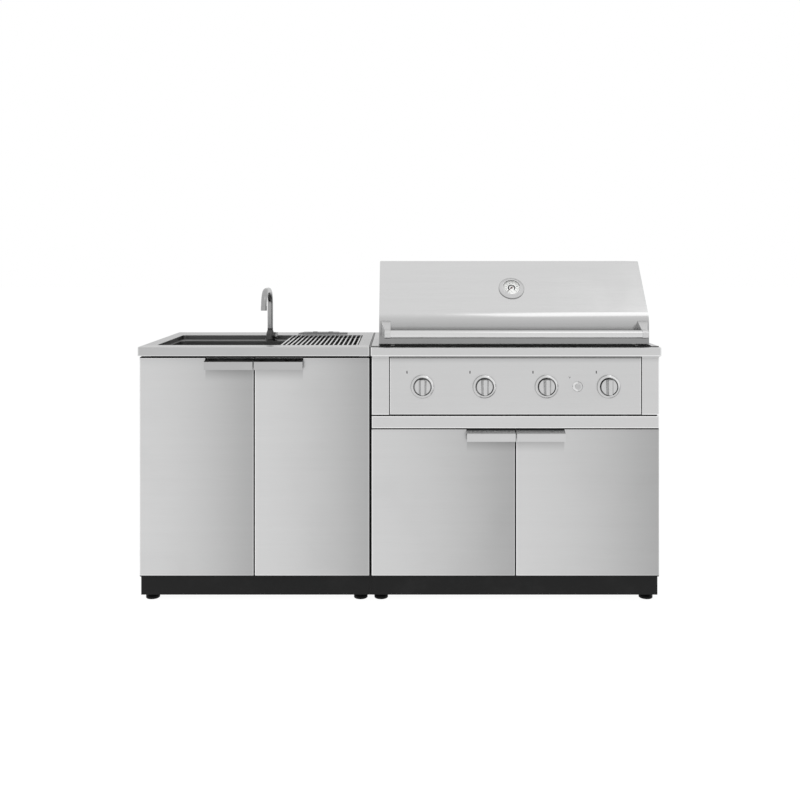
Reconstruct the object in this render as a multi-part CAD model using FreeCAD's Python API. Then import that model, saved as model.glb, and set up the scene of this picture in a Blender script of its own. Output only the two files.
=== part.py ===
import FreeCAD, Part
import math
import os
from FreeCAD import Placement, Rotation, Vector

# Outdoor kitchen island: a sink cabinet and a grill cabinet, side by side.
# Lengths are millimetres. While it is built, x runs from the sink counter's left
# edge, y backwards from the counters' front face, and z up from the floor.

# Counters and cabinet bodies
DEPTH = 610.0
COUNTER_TOP = 908.0
COUNTER_EDGE = 32.0
COUNTER_SHEET = 1.5
COUNTER_BEND = 2.5
COUNTER_LIP = 60.0
SINK_TOP_WIDTH = 812.8
GRILL_TOP_WIDTH = 1020.6
UNIT_GAP = 6.6
SINK_SIDE_OVERHANG = 0.9
GRILL_SIDE_OVERHANG = 2.8
SHEET = 1.2
FRONT_OVERHANG = 19.0
BACK_OVERHANG = 10.0
PANEL_RETURN = 15.0
TOP_FLANGE = 20.0
FLOOR_RISE = 22.0
RAIL_WEB = 30.0
SERVICE_WIDTH = 160.0
SERVICE_HEIGHT = 80.0
SERVICE_RISE = 60.0
SERVICE_SHIFT = 150.0
LINK_INSET = 60.0
LINK_RADIUS = 4.0
LINK_COLLAR = 9.0
LINK_HEAD = 5.0

# Base
FOOT_HEIGHT = 24.0
FOOT_RADIUS = 24.5
FOOT_INSET = 31.5
FOOT_SETBACK = 41.0
STUD_RADIUS = 5.0
STUD_LENGTH = 38.0
NUT_HEIGHT = 8.0
NUT_RADIUS = 9.0
KICK_HEIGHT = 74.0
KICK_SHEET = 1.5
PLINTH_WIDTH = 60.0
PLINTH_SHEET = 2.0

# Doors, pulls, pivots and catches
DOOR_THICKNESS = 18.0
DOOR_STANDOFF = 4.0
DOOR_GAP = 4.4
DOOR_TOP_GAP = 9.3
GRILL_DOOR_HEIGHT = 517.0
PIVOT_INSET = 6.0
PIVOT_RADIUS = 3.0
PIVOT_LENGTH = 10.0
PIVOT_BLOCK = 14.0
RUNNING_GAP = 0.05
LEAF_SHEET = 2.4
LEAF_GAP = 1.0
LEAF_WIDTH = 34.0
FLANGE_SHEET = 2.0
FLANGE_DROP = 22.0
PULL_WIDTH = 171.0
PULL_SHEET = 2.0
PULL_REACH = 25.0
PULL_SINK = 4.0
PULL_FALL = 6.6
PULL_LIP = 28.4
PULL_TAB = 20.0
CATCH_WIDTH = 40.0
CATCH_HEIGHT = 12.0
SEAT_GAP = 0.3

# Face frame and control panel of the grill cabinet
STILE_WIDTH = 61.0
RAIL_GAP = 4.4
RAIL_HEIGHT = 42.4
STOP_DROP = 29.4
PANEL_GAP = 5.0
PANEL_SIDE_GAP = 2.7
PANEL_SHEET = 1.5
PANEL_DEPTH = 20.0
TRIM_DEPTH = 35.0
TRIM_DROP = 2.5
TRIM_GROOVE = 4.0
TRIM_STEP = 9.0

# Sink bowl, drying rack, drain and tap
BOWL_SIDE = 50.0
BOWL_RIGHT = 40.2
BOWL_FRONT = 67.0
BOWL_REAR = 376.0
WELL_REAR = 473.0
LEDGE_DEPTH = 14.7
LEDGE = 14.0
BOWL_DEPTH = 190.0
BOWL_SHEET = 1.2
BOWL_RIM = 14.0
CORNER_RADIUS = 12.0
RACK_WIDTH = 278.0
RACK_PITCH = 17.0
RACK_ROD = 3.0
RACK_BAR = 4.0
RACK_MARGIN = 4.0
DRAIN_RADIUS = 43.0
DRAIN_DEPTH = 56.0
DRAIN_TAIL_RADIUS = 20.0
DRAIN_TAIL_LENGTH = 60.0
DRAIN_FLANGE = 13.0
BASKET_KNOB = 20.0
TAP_SETBACK = 425.0
TAP_RADIUS = 10.9
TAP_REACH = 172.0
TAP_BEND = 55.0
TAP_RISE = 184.5
TAP_DROP = 72.0
TAP_BASE_RADIUS = 17.5
TAP_BASE_HEIGHT = 47.0
TAP_TENON = 8.0
TAP_HUB_RADIUS = 13.0
TAP_HUB_REACH = 22.0
LEVER_CAP = 7.0
LEVER_LENGTH = 45.0
SHANK_RADIUS = 10.5
SHANK_LENGTH = 52.0
AERATOR_RADIUS = 11.8
AERATOR_LENGTH = 16.0
PLATE_LENGTH = 198.0
PLATE_DEPTH = 40.0
PLATE_HEIGHT = 7.0
PLATE_RIGHT = 107.0
PLATE_SETBACK = 51.6
PLATE_STEP_LEFT = 16.0
PLATE_STEP_RIGHT = 30.0

# Grill: firebox, burners, grates, tray
FIREBOX_WIDTH = 930.0
FIREBOX_FRONT = 76.0
FIREBOX_REAR = 515.0
FIREBOX_HEIGHT = 186.0
FIREBOX_SHEET = 1.5
FIREBOX_FLANGE = 20.0
CUTOUT_GAP = 2.0
GRATE_LEDGE = 33.0
TAMER_LEDGE = 98.0
LEDGE_REACH = 12.0
GRATE_COUNT = 3
GRATE_ROD = 4.0
GRATE_PITCH = 19.0
GRATE_BAR = 6.0
GRATE_GAP = 3.0
TAMER_WIDTH = 150.0
TAMER_HEIGHT = 26.0
BURNER_RADIUS = 19.0
BURNER_NECK = 12.0
BURNER_PIN = 4.0
OUTLET_WIDTH = 326.0
OUTLET_DEPTH = 250.0
OUTLET_TOP = 596.0
TRAY_TOP = 584.0
TRAY_DEPTH = 26.0
TRAY_LIP = 9.0
TRAY_SHEET = 1.2
TRAY_GRIP = 120.0
WARMER_WIDTH = 860.0
WARMER_DEPTH = 150.0
WARMER_RISE = 96.0
WARMER_ROD = 3.0
WARMER_PITCH = 25.0

# Gas train, knobs and igniter
KNOB_PITCH = 219.3
KNOB_COUNT = 4
KNOB_DROP = 100.5
KNOB_RADIUS = 29.0
KNOB_SKIRT = 7.5
KNOB_REACH = 36.0
KNOB_STANDOFF = 4.5
KNOB_PUSH = 3.0
GRIP_WIDTH = 12.7
GRIP_ROOT = 29.0
BEZEL_RADIUS = 42.0
BEZEL_GAP = 1.5
BEZEL_HEIGHT = 8.0
STEM_RADIUS = 4.0
STEM_FLAT = 2.6
VALVE_RADIUS = 12.0
VALVE_FRONT = 45.0
VALVE_LENGTH = 21.0
MANIFOLD_RADIUS = 11.0
MANIFOLD_DROP = 32.0
MANIFOLD_SETBACK = 56.0
MANIFOLD_END = 40.0
INLET_OFFSET = 66.0
INLET_DROP = 165.0
INLET_RADIUS = 7.94
INLET_LENGTH = 15.0
IGNITER_RING = 18.5
IGNITER_BUTTON = 10.0
IGNITER_BARREL = 11.5
IGNITER_DEPTH = 30.0
IGNITER_WALL = 3.0
IGNITER_RISE = 4.0
IGNITER_PROUD = 10.0
IGNITER_TRAVEL = 6.0

# Lid, handle and gauge
LID_SIDE_GAP = 18.0
LID_FRONT = 60.0
LID_GAP = 4.0
LID_TOP = 1207.0
LID_KNEE = 1006.7
LID_BROW = 218.0
LID_REAR = 540.0
LID_REAR_EDGE = 42.0
LID_SHEET = 1.2
LID_HEM = 10.0
LID_KNEE_RADIUS = 68.0
LID_BROW_RADIUS = 12.0
LID_REAR_RADIUS = 110.0
LINER_GAP = 12.8
LINER_FOOT = 22.0
LINER_REAR = 92.0
HINGE_Y = 522.0
HINGE_RISE = 27.0
HINGE_RADIUS = 5.0
BOSS_WALL = 4.0
BOSS_LENGTH = 5.4
EAR_SHEET = 3.0
HANDLE_RADIUS = 14.0
HANDLE_WALL = 1.5
HANDLE_RISE = 45.0
HUB_RADIUS = 15.5
BRACKET_ROOT = 37.5
BRACKET_FRONT = 20.5
BRACKET_INSET = 4.0
BRACKET_TOP = 45.0
BRACKET_FOOT = 13.0
GAUGE_RADIUS = 46.5
GAUGE_DIAL = 29.5
GAUGE_HEIGHT = 11.0
GAUGE_SLOPE = 0.505
BUMPER_INSET = 49.0

# Planes and places that follow from the sizes above
COUNTER_BASE = COUNTER_TOP - COUNTER_EDGE
DOOR_FACE = FRONT_OVERHANG
DOOR_BACK = DOOR_FACE + DOOR_THICKNESS
CARCASS_FRONT = DOOR_BACK + DOOR_STANDOFF
PANEL_START = CARCASS_FRONT + SHEET
CARCASS_BACK = DEPTH - BACK_OVERHANG
BACK_FACE = CARCASS_BACK - SHEET
KICK_TOP = FOOT_HEIGHT + KICK_HEIGHT
FLOOR_TOP = KICK_TOP + FLOOR_RISE
SINK_DOOR_TOP = COUNTER_BASE - DOOR_TOP_GAP
GRILL_DOOR_TOP = KICK_TOP + GRILL_DOOR_HEIGHT
RAIL_BOTTOM = GRILL_DOOR_TOP + RAIL_GAP
RAIL_TOP = RAIL_BOTTOM + RAIL_HEIGHT
PANEL_BOTTOM = RAIL_TOP + PANEL_GAP
PANEL_TOP = SINK_DOOR_TOP
GRILL_X = SINK_TOP_WIDTH + UNIT_GAP
GRILL_MIDDLE = GRILL_X + GRILL_TOP_WIDTH / 2
SINK_MIDDLE = SINK_TOP_WIDTH / 2
TOTAL_WIDTH = GRILL_X + GRILL_TOP_WIDTH
BODIES = (
    (SINK_SIDE_OVERHANG, SINK_TOP_WIDTH - SINK_SIDE_OVERHANG),
    (GRILL_X + GRILL_SIDE_OVERHANG, TOTAL_WIDTH - GRILL_SIDE_OVERHANG),
)
DOOR_TOPS = (SINK_DOOR_TOP, GRILL_DOOR_TOP)
BOWL_LEFT = BOWL_SIDE
WELL_RIGHT = SINK_TOP_WIDTH - BOWL_RIGHT
LEDGE_TOP = COUNTER_TOP - LEDGE_DEPTH
BOWL_FLOOR = COUNTER_TOP - BOWL_DEPTH
DRAIN_Y = (BOWL_FRONT + LEDGE + BOWL_REAR) / 2
FIREBOX_LEFT = GRILL_MIDDLE - FIREBOX_WIDTH / 2
FIREBOX_RIGHT = GRILL_MIDDLE + FIREBOX_WIDTH / 2
FIREBOX_BASE = COUNTER_TOP - FIREBOX_HEIGHT
FIREBOX_MIDDLE = (FIREBOX_FRONT + FIREBOX_REAR) / 2
FLANGE_TOP = COUNTER_TOP + SHEET
KNOB_Z = PANEL_TOP - KNOB_DROP
KNOB_XS = [GRILL_MIDDLE + (i - (KNOB_COUNT - 1) / 2) * KNOB_PITCH for i in range(KNOB_COUNT)]
IGNITER_X = KNOB_XS[-1] - KNOB_PITCH / 2
KNOB_FRONT = DOOR_FACE - KNOB_REACH
LID_LEFT = FIREBOX_LEFT - LID_SIDE_GAP
LID_RIGHT = FIREBOX_RIGHT + LID_SIDE_GAP
LID_BOTTOM = COUNTER_TOP + LID_GAP
HINGE_Z = COUNTER_TOP + HINGE_RISE
HANDLE_Z = COUNTER_TOP + HANDLE_RISE
SLANT = math.hypot(LID_BROW - LID_FRONT, LID_TOP - LID_KNEE)
SLANT_Y = (LID_BROW - LID_FRONT) / SLANT
SLANT_Z = (LID_TOP - LID_KNEE) / SLANT
GAUGE_BASE = Vector(
    GRILL_MIDDLE,
    LID_FRONT + GAUGE_SLOPE * (LID_BROW - LID_FRONT),
    LID_KNEE + GAUGE_SLOPE * (LID_TOP - LID_KNEE),
)
GAUGE_AXIS = Vector(0, -SLANT_Z, SLANT_Y)
FRONT_REACH = max(KNOB_REACH - DOOR_FACE, HUB_RADIUS)
ORIGIN = Vector(TOTAL_WIDTH / 2, (DEPTH - FRONT_REACH) / 2, 0)

X = Vector(1, 0, 0)
Y = Vector(0, 1, 0)
Z = Vector(0, 0, 1)


# General shapes

def box(x0, x1, y0, y1, z0, z1):
    """A block between two corners."""
    return Part.makeBox(x1 - x0, y1 - y0, z1 - z0, Vector(x0, y0, z0))


def rod(x, y, z, axis, radius, length):
    """A round bar that starts at a point and runs along an axis."""
    return Part.makeCylinder(radius, length, Vector(x, y, z), axis)


def fuse(first, *others):
    """Join solids into one and merge their coplanar faces."""
    return first.fuse(list(others)).removeSplitter()


def placed(axis, low, u, v):
    """Put a flat point (u, v) on the plane that is square to an axis at the place low."""
    return {"x": Vector(low, u, v), "y": Vector(u, low, v), "z": Vector(u, v, low)}[axis]


def direction(a, b):
    """The unit step from one flat point to the next."""
    length = math.hypot(b[0] - a[0], b[1] - a[1])
    return (b[0] - a[0]) / length, (b[1] - a[1]) / length


def beside(path, distance):
    """The path's corners moved to its left by a distance, with mitred corners."""
    steps = [direction(a, b) for a, b in zip(path, path[1:])]
    before = [steps[0]] + steps
    after = steps + [steps[-1]]
    moved = []
    for (u, v), (bu, bv), (au, av) in zip(path, before, after):
        share = distance / (1 + bu * au + bv * av)
        moved.append((u - (bv + av) * share, v + (bu + au) * share))
    return moved


def turns_left(path, i):
    """Whether the path turns left at its corner i."""
    (bu, bv), (au, av) = direction(path[i - 1], path[i]), direction(path[i], path[i + 1])
    return bu * av - bv * au > 0


def rounded_edges(path, radii, axis, low):
    """Lines along the path, with an arc at each corner that has a radius."""
    edges = []
    start = path[0]
    for i in range(1, len(path) - 1):
        if radii.get(i, 0) <= 0:
            edges.append(Part.makeLine(placed(axis, low, *start), placed(axis, low, *path[i])))
            start = path[i]
            continue
        (bu, bv), (au, av) = direction(path[i - 1], path[i]), direction(path[i], path[i + 1])
        turn = math.acos(bu * au + bv * av)
        reach = radii[i] * math.tan(turn / 2)
        rise = radii[i] * (1 / math.cos(turn / 2) - 1)
        inward = math.hypot(au - bu, av - bv)
        u, v = path[i]
        first = (u - bu * reach, v - bv * reach)
        middle = (u + (au - bu) / inward * rise, v + (av - bv) / inward * rise)
        last = (u + au * reach, v + av * reach)
        edges.append(Part.makeLine(placed(axis, low, *start), placed(axis, low, *first)))
        arc = Part.Arc(*[placed(axis, low, *point) for point in (first, middle, last)])
        edges.append(arc.toShape())
        start = last
    edges.append(Part.makeLine(placed(axis, low, *start), placed(axis, low, *path[-1])))
    return edges


def prism(outline, axis, low, high):
    """A closed flat outline drawn along an axis."""
    corners = [placed(axis, low, u, v) for u, v in outline]
    face = Part.Face(Part.makePolygon(corners + corners[:1]))
    return face.extrude({"x": X, "y": Y, "z": Z}[axis] * (high - low))


def folded(path, thickness, axis, low, high, radii=None):
    """A sheet bent along a path; it lies left of the path, or right where thickness is negative."""
    radii = radii or {}
    shifted = beside(path, thickness)
    inner_radii = {}
    for i, radius in radii.items():
        towards = thickness if turns_left(path, i) else -thickness
        inner_radii[i] = radius - towards
    outer = rounded_edges(path, radii, axis, low)
    inner = rounded_edges(shifted, inner_radii, axis, low)
    caps = [
        Part.makeLine(placed(axis, low, *path[0]), placed(axis, low, *shifted[0])),
        Part.makeLine(placed(axis, low, *path[-1]), placed(axis, low, *shifted[-1])),
    ]
    wire = Part.Wire(Part.__sortEdges__(outer + inner + caps))
    return Part.Face(wire).extrude({"x": X, "y": Y, "z": Z}[axis] * (high - low))


def revolved(profile, x, y, z, axis):
    """A profile of (radius, height) points turned about an axis through a point."""
    corners = [Vector(r, 0, h) for r, h in profile]
    solid = Part.Face(Part.makePolygon(corners + corners[:1])).revolve(Vector(), Z, 360)
    solid.Placement = Placement(Vector(x, y, z), Rotation(Z, axis))
    return solid


def rounded_plate(x0, x1, y0, y1, z0, z1, radius):
    """A block whose four upright corners are rounded."""
    block = box(x0, x1, y0, y1, z0, z1)
    upright = [edge for edge in block.Edges if abs(edge.tangentAt(0).z) > 0.9]
    return block.makeFillet(radius, upright)


def mirrored(shape, x):
    """The shape seen in an upright mirror across the width, at the place x."""
    return shape.mirror(Vector(x, 0, 0), X)


def save(node, *solids):
    """Move the solids to the part's own origin and write them as one node."""
    shape = Part.makeCompound(list(solids)) if len(solids) > 1 else solids[0].copy()
    shape.translate(ORIGIN * -1)
    shape.exportStep("parts/%s.step" % node)


# Cabinet bodies

def side_panel(x0):
    """Left-hand side panel, with a rear return and a top flange that carries the counter."""
    path = [(x0, PANEL_START), (x0, BACK_FACE), (x0 + PANEL_RETURN, BACK_FACE)]
    sheet = folded(path, -SHEET, "z", KICK_TOP, COUNTER_BASE)
    flange = box(
        x0 + SHEET, x0 + TOP_FLANGE, PANEL_START, BACK_FACE - SHEET, COUNTER_BASE - SHEET, COUNTER_BASE
    )
    return fuse(sheet, flange)


def back_panel(x0, x1):
    """Flat back with a cut-out low down for the supply and waste lines."""
    middle = (x0 + x1) / 2 + SERVICE_SHIFT
    low = FLOOR_TOP + SERVICE_RISE
    cutout = box(
        middle - SERVICE_WIDTH / 2, middle + SERVICE_WIDTH / 2, BACK_FACE - 1, CARCASS_BACK + 1,
        low, low + SERVICE_HEIGHT,
    )
    return box(x0, x1, BACK_FACE, CARCASS_BACK, FOOT_HEIGHT, COUNTER_BASE).cut(cutout)


def floor_panel(x0, x1):
    """Bottom shelf, folded down on all four sides; its front web closes the body below the doors."""
    rear = BACK_FACE - SHEET
    path = [(rear, KICK_TOP), (rear, FLOOR_TOP), (CARCASS_FRONT, FLOOR_TOP), (CARCASS_FRONT, KICK_TOP)]
    shelf = folded(path, SHEET, "x", x0 + SHEET, x1 - SHEET)
    web = box(x0, x1, CARCASS_FRONT, PANEL_START, KICK_TOP, FLOOR_TOP)
    left = box(x0 + SHEET, x0 + 2 * SHEET, PANEL_START, rear, KICK_TOP, FLOOR_TOP)
    right = box(x1 - 2 * SHEET, x1 - SHEET, PANEL_START, rear, KICK_TOP, FLOOR_TOP)
    return fuse(shelf, web, left, right)


def sink_front_rail(x0, x1):
    """Rail across the top of the door opening, with a flange under the counter."""
    low = COUNTER_BASE - RAIL_WEB
    path = [
        (CARCASS_FRONT, low), (CARCASS_FRONT, COUNTER_BASE),
        (PANEL_START + TOP_FLANGE, COUNTER_BASE),
    ]
    rail = folded(path, -SHEET, "x", x0 + TOP_FLANGE, x1 - TOP_FLANGE)
    return fuse(rail, box(x0, x1, CARCASS_FRONT, PANEL_START, low, COUNTER_BASE))


def sink_rear_rail(x0, x1):
    """Rail across the back, between the side panels' returns."""
    path = [
        (BACK_FACE, COUNTER_BASE - RAIL_WEB), (BACK_FACE, COUNTER_BASE),
        (BACK_FACE - 2 * TOP_FLANGE, COUNTER_BASE),
    ]
    return folded(path, SHEET, "x", x0 + TOP_FLANGE, x1 - TOP_FLANGE)


def link_places():
    """Side-view places of the bolts that join the two cabinets."""
    ys = (CARCASS_FRONT + LINK_INSET, CARCASS_BACK - LINK_INSET)
    zs = (FLOOR_TOP + LINK_INSET, COUNTER_BASE - LINK_INSET)
    return [(y, z) for y in ys for z in zs]


def link_holes(x, shape):
    """The shape with the joining bolts' holes through the sheet at the place x."""
    for y, z in link_places():
        shape = shape.cut(rod(x - 1, y, z, X, LINK_RADIUS + SEAT_GAP, SHEET + 2))
    return shape


def unit_link(y, z):
    """Bolt with a spacer between the cabinets and a head inside each of them."""
    left, right = BODIES[0][1], BODIES[1][0]
    collar = rod(left, y, z, X, LINK_COLLAR, right - left)
    shank = rod(left - SHEET, y, z, X, LINK_RADIUS, right - left + 2 * SHEET)
    corners = [
        (y + 2 * LINK_RADIUS * math.cos(math.radians(a)), z + 2 * LINK_RADIUS * math.sin(math.radians(a)))
        for a in range(0, 360, 60)
    ]
    head = prism(corners, "x", left - SHEET - LINK_HEAD, left - SHEET)
    nut = prism(corners, "x", right + SHEET, right + SHEET + LINK_HEAD)
    return fuse(collar, shank, head, nut)


def foot_places(x0, x1):
    """Plan places of a cabinet's four feet."""
    front = CARCASS_FRONT + FOOT_SETBACK
    rear = CARCASS_BACK - FOOT_SETBACK
    return [(x, y) for x in (x0 + FOOT_INSET, x1 - FOOT_INSET) for y in (front, rear)]


def plinth_rail(x0, feet):
    """Left-hand plinth channel with holes for the feet's studs."""
    path = [
        (x0 + PLINTH_WIDTH, FOOT_HEIGHT), (x0, FOOT_HEIGHT), (x0, KICK_TOP), (x0 + PLINTH_WIDTH, KICK_TOP)
    ]
    rail = folded(path, -PLINTH_SHEET, "y", CARCASS_FRONT + KICK_SHEET, BACK_FACE)
    for x, y in feet:
        rail = rail.cut(rod(x, y, FOOT_HEIGHT - 1, Z, STUD_RADIUS + SEAT_GAP, PLINTH_SHEET + 2))
    return rail


def levelling_foot(x, y):
    """Round pad on a threaded stud, locked by a nut on the plinth's flange."""
    hub = 0.62 * FOOT_RADIUS
    pad = revolved(
        [(0, 0), (FOOT_RADIUS - 1, 0), (FOOT_RADIUS, 1), (FOOT_RADIUS, 0.35 * FOOT_HEIGHT),
         (hub, 0.7 * FOOT_HEIGHT), (hub, FOOT_HEIGHT), (0, FOOT_HEIGHT)], x, y, 0, Z)
    stud = rod(x, y, FOOT_HEIGHT - 1, Z, STUD_RADIUS, STUD_LENGTH + 1)
    seat = FOOT_HEIGHT + PLINTH_SHEET
    corners = [
        (x + NUT_RADIUS * math.cos(math.radians(a)), y + NUT_RADIUS * math.sin(math.radians(a)))
        for a in range(0, 360, 60)
    ]
    return fuse(pad, stud, prism(corners, "z", seat, seat + NUT_HEIGHT))


def cabinet_bodies():
    """Panels, plinths and feet of both cabinets."""
    sides, rails, feet = [], [], []
    for x0, x1 in BODIES:
        middle = (x0 + x1) / 2
        places = foot_places(x0, x1)
        sides += [side_panel(x0), mirrored(side_panel(x0), middle)]
        rail = plinth_rail(x0, places[:2])
        rails += [rail, mirrored(rail, middle)]
        feet += [levelling_foot(x, y) for x, y in places]
    sides[1] = link_holes(BODIES[0][1] - SHEET, sides[1])
    sides[2] = link_holes(BODIES[1][0], sides[2])
    save("side_panels", *sides)
    save("unit_links", *[unit_link(y, z) for y, z in link_places()])
    save("plinth_rails", *rails)
    save("levelling_feet", *feet)
    save("back_panels", *[back_panel(x0, x1) for x0, x1 in BODIES])
    save("floor_panels", *[floor_panel(x0, x1) for x0, x1 in BODIES])
    save("kick_plates", *[
        box(x0, x1, CARCASS_FRONT, CARCASS_FRONT + KICK_SHEET, FOOT_HEIGHT, KICK_TOP) for x0, x1 in BODIES
    ])
    save("sink_top_rails", sink_front_rail(*BODIES[0]), sink_rear_rail(*BODIES[0]))


# Doors

def door(x0, x1, top, pivot_x, notch):
    """Folded outer pan, inner cover and two pivot blocks; notch clears the pull's tab."""
    t = SHEET
    pan = box(x0, x1, DOOR_FACE, DOOR_BACK, KICK_TOP, top)
    upright = [e for e in pan.Edges if abs(e.tangentAt(0).z) > 0.9 and e.Vertexes[0].Y < DOOR_BACK - 1]
    pan = pan.makeFillet(t, upright)
    pan = pan.cut(box(x0 + t, x1 - t, DOOR_FACE + t, DOOR_BACK + 1, KICK_TOP + t, top - t))
    cover = box(x0 + t, x1 - t, DOOR_BACK - t, DOOR_BACK, KICK_TOP + t, top - t)
    depth = PULL_SINK + PULL_SHEET + SEAT_GAP
    pan = pan.cut(box(notch[0], notch[1], DOOR_FACE - 1, DOOR_BACK - t, top - depth, top + 1))
    pivot_y = DOOR_FACE + PIVOT_INSET
    low = min(pivot_x, x0 + t) if pivot_x < (x0 + x1) / 2 else x1 - PIVOT_BLOCK
    high = low + PIVOT_BLOCK - t
    blocks = []
    for z, outer in ((KICK_TOP + t, KICK_TOP), (top - t - PIVOT_BLOCK, top)):
        block = box(low, high, DOOR_FACE + t, DOOR_BACK - t, z, z + PIVOT_BLOCK)
        bore = rod(pivot_x, pivot_y, z - 1, Z, PIVOT_RADIUS + RUNNING_GAP, PIVOT_BLOCK + 2)
        blocks.append(block.cut(bore))
        pan = pan.cut(rod(pivot_x, pivot_y, outer - t - 1, Z, PIVOT_RADIUS + SEAT_GAP, 2 * t + 2))
    return [pan, cover] + blocks


def pull(x0, x1, top):
    """Left door's edge pull: a tab in the top notch, a sloping ledge and a hanging lip."""
    rear = DOOR_BACK - SHEET
    ledge = top - PULL_SINK
    front = DOOR_FACE - PULL_REACH
    path = [
        (rear, ledge - PULL_TAB), (rear, ledge), (DOOR_FACE, ledge),
        (front, ledge - PULL_FALL), (front, ledge - PULL_FALL - PULL_LIP),
    ]
    sheet = folded(path, PULL_SHEET, "x", x0, x1)
    beside_return = box(
        x1 - SHEET - SEAT_GAP, x1 + 1, DOOR_FACE, DOOR_BACK, ledge - PULL_TAB - 1,
        ledge - PULL_SHEET - SEAT_GAP,
    )
    return sheet.cut(beside_return)


def hinge_bracket(x0, door_end, outward):
    """Left-hand pivot bracket: outward is 1 above a door and -1 below it."""
    near = door_end + outward * LEAF_GAP
    far = near + outward * LEAF_SHEET
    left = x0 + 1
    leaf = box(left, left + LEAF_WIDTH, DOOR_FACE + 1, CARCASS_FRONT, min(near, far), max(near, far))
    tail = door_end - outward * FLANGE_DROP
    flange = box(
        left + PIVOT_BLOCK, left + LEAF_WIDTH, CARCASS_FRONT - FLANGE_SHEET, CARCASS_FRONT,
        min(tail, far), max(tail, far),
    )
    tip = door_end - outward * PIVOT_LENGTH
    pin = rod(
        x0 + PIVOT_INSET, DOOR_FACE + PIVOT_INSET, min(tip, far), Z, PIVOT_RADIUS, abs(far - tip)
    )
    return fuse(leaf, flange, pin)


def door_catch(x, top):
    """Magnetic catch on the rail behind a door's free corner."""
    front = DOOR_BACK + SEAT_GAP
    return box(x - CATCH_WIDTH / 2, x + CATCH_WIDTH / 2, front, CARCASS_FRONT,
               top - CATCH_HEIGHT - 4, top - 4)


def doors():
    """Two pairs of doors with their pulls, pivot brackets and catches."""
    brackets, catches = [], []
    for unit, (x0, x1), top in zip(("sink", "grill"), BODIES, DOOR_TOPS):
        middle = (x0 + x1) / 2
        inner = DOOR_GAP / 2
        left_pull = (middle - inner - PULL_WIDTH, middle - inner)
        left_notch = (left_pull[0] - SEAT_GAP, middle)
        left = door(x0, middle - inner, top, x0 + PIVOT_INSET, left_notch)
        save(unit + "_left_door", *left)
        save(unit + "_right_door", *[mirrored(solid, middle) for solid in left])
        save(unit + "_left_pull", pull(*left_pull, top))
        save(unit + "_right_pull", mirrored(pull(*left_pull, top), middle))
        pair = [hinge_bracket(x0, KICK_TOP, -1), hinge_bracket(x0, top, 1)]
        brackets += pair + [mirrored(bracket, middle) for bracket in pair]
        spread = CATCH_WIDTH
        catches += [door_catch(middle - spread, top), door_catch(middle + spread, top)]
    save("hinge_brackets", *brackets)
    save("door_catches", *catches)


# Counters

def countertop(x0, x1, y0, y1):
    """Folded counter: top, four turned-down sides and returns that rest on the body."""
    t = COUNTER_SHEET
    shell = box(x0, x1, y0, y1, COUNTER_BASE, COUNTER_TOP)
    bends = [e for e in shell.Edges if e.BoundBox.ZMin > COUNTER_TOP - 1]
    shell = shell.makeFillet(COUNTER_BEND, bends)
    shell = shell.cut(box(x0 + t, x1 - t, y0 + t, y1 - t, COUNTER_BASE + t, COUNTER_TOP - t))
    lip = COUNTER_LIP
    side = TOP_FLANGE + 2 * SINK_SIDE_OVERHANG
    rear = BACK_OVERHANG + TOP_FLANGE
    return shell.cut(box(x0 + side, x1 - side, lip, y1 - rear, COUNTER_BASE - 1, COUNTER_BASE + t + 1))


def sink_countertop():
    """Counter with the opening above the bowl."""
    opening = rounded_plate(
        BOWL_LEFT, WELL_RIGHT, BOWL_FRONT, WELL_REAR, COUNTER_TOP - COUNTER_EDGE / 2, COUNTER_TOP + 1,
        CORNER_RADIUS,
    )
    return countertop(0, SINK_TOP_WIDTH, 0, DEPTH).cut(opening)


def grill_countertop():
    """Counter behind the front trim, with the opening that the grill hangs in."""
    opening = rounded_plate(
        FIREBOX_LEFT - CUTOUT_GAP, FIREBOX_RIGHT + CUTOUT_GAP,
        FIREBOX_FRONT - CUTOUT_GAP, FIREBOX_REAR + CUTOUT_GAP,
        COUNTER_TOP - COUNTER_EDGE / 2, COUNTER_TOP + 1, CORNER_RADIUS / 2,
    )
    return countertop(GRILL_X, TOTAL_WIDTH, TRIM_DEPTH, DEPTH).cut(opening)


def front_trim():
    """Nose strip of the grill, with a step that leaves a groove before the counter."""
    top = COUNTER_TOP - TRIM_DROP
    step = COUNTER_TOP - TRIM_STEP
    back = TRIM_DEPTH - TRIM_GROOVE
    outline = [
        (0, COUNTER_BASE), (TRIM_DEPTH, COUNTER_BASE), (TRIM_DEPTH, step),
        (back, step), (back, top), (0, top),
    ]
    solid = prism(outline, "x", GRILL_X, TOTAL_WIDTH)
    bend = [e for e in solid.Edges
            if abs(e.tangentAt(0).x) > 0.9 and e.BoundBox.YMax < 1 and e.BoundBox.ZMin > top - 1]
    solid = solid.makeFillet(COUNTER_BEND, bend)
    hollow = beside(outline + outline[:2], COUNTER_SHEET)[1:-1]
    hollow = prism(hollow, "x", GRILL_X + COUNTER_SHEET, TOTAL_WIDTH - COUNTER_SHEET)
    slot = box(
        GRILL_X + COUNTER_SHEET, TOTAL_WIDTH - COUNTER_SHEET, COUNTER_EDGE / 2,
        back - COUNTER_SHEET, COUNTER_BASE - 1, COUNTER_BASE + COUNTER_SHEET + 1,
    )
    return solid.cut(hollow).cut(slot)


def counters():
    """Both counters and the trim strip."""
    save("sink_countertop", sink_countertop())
    save("grill_countertop", grill_countertop())
    save("grill_front_trim", front_trim())


# Sink

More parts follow.
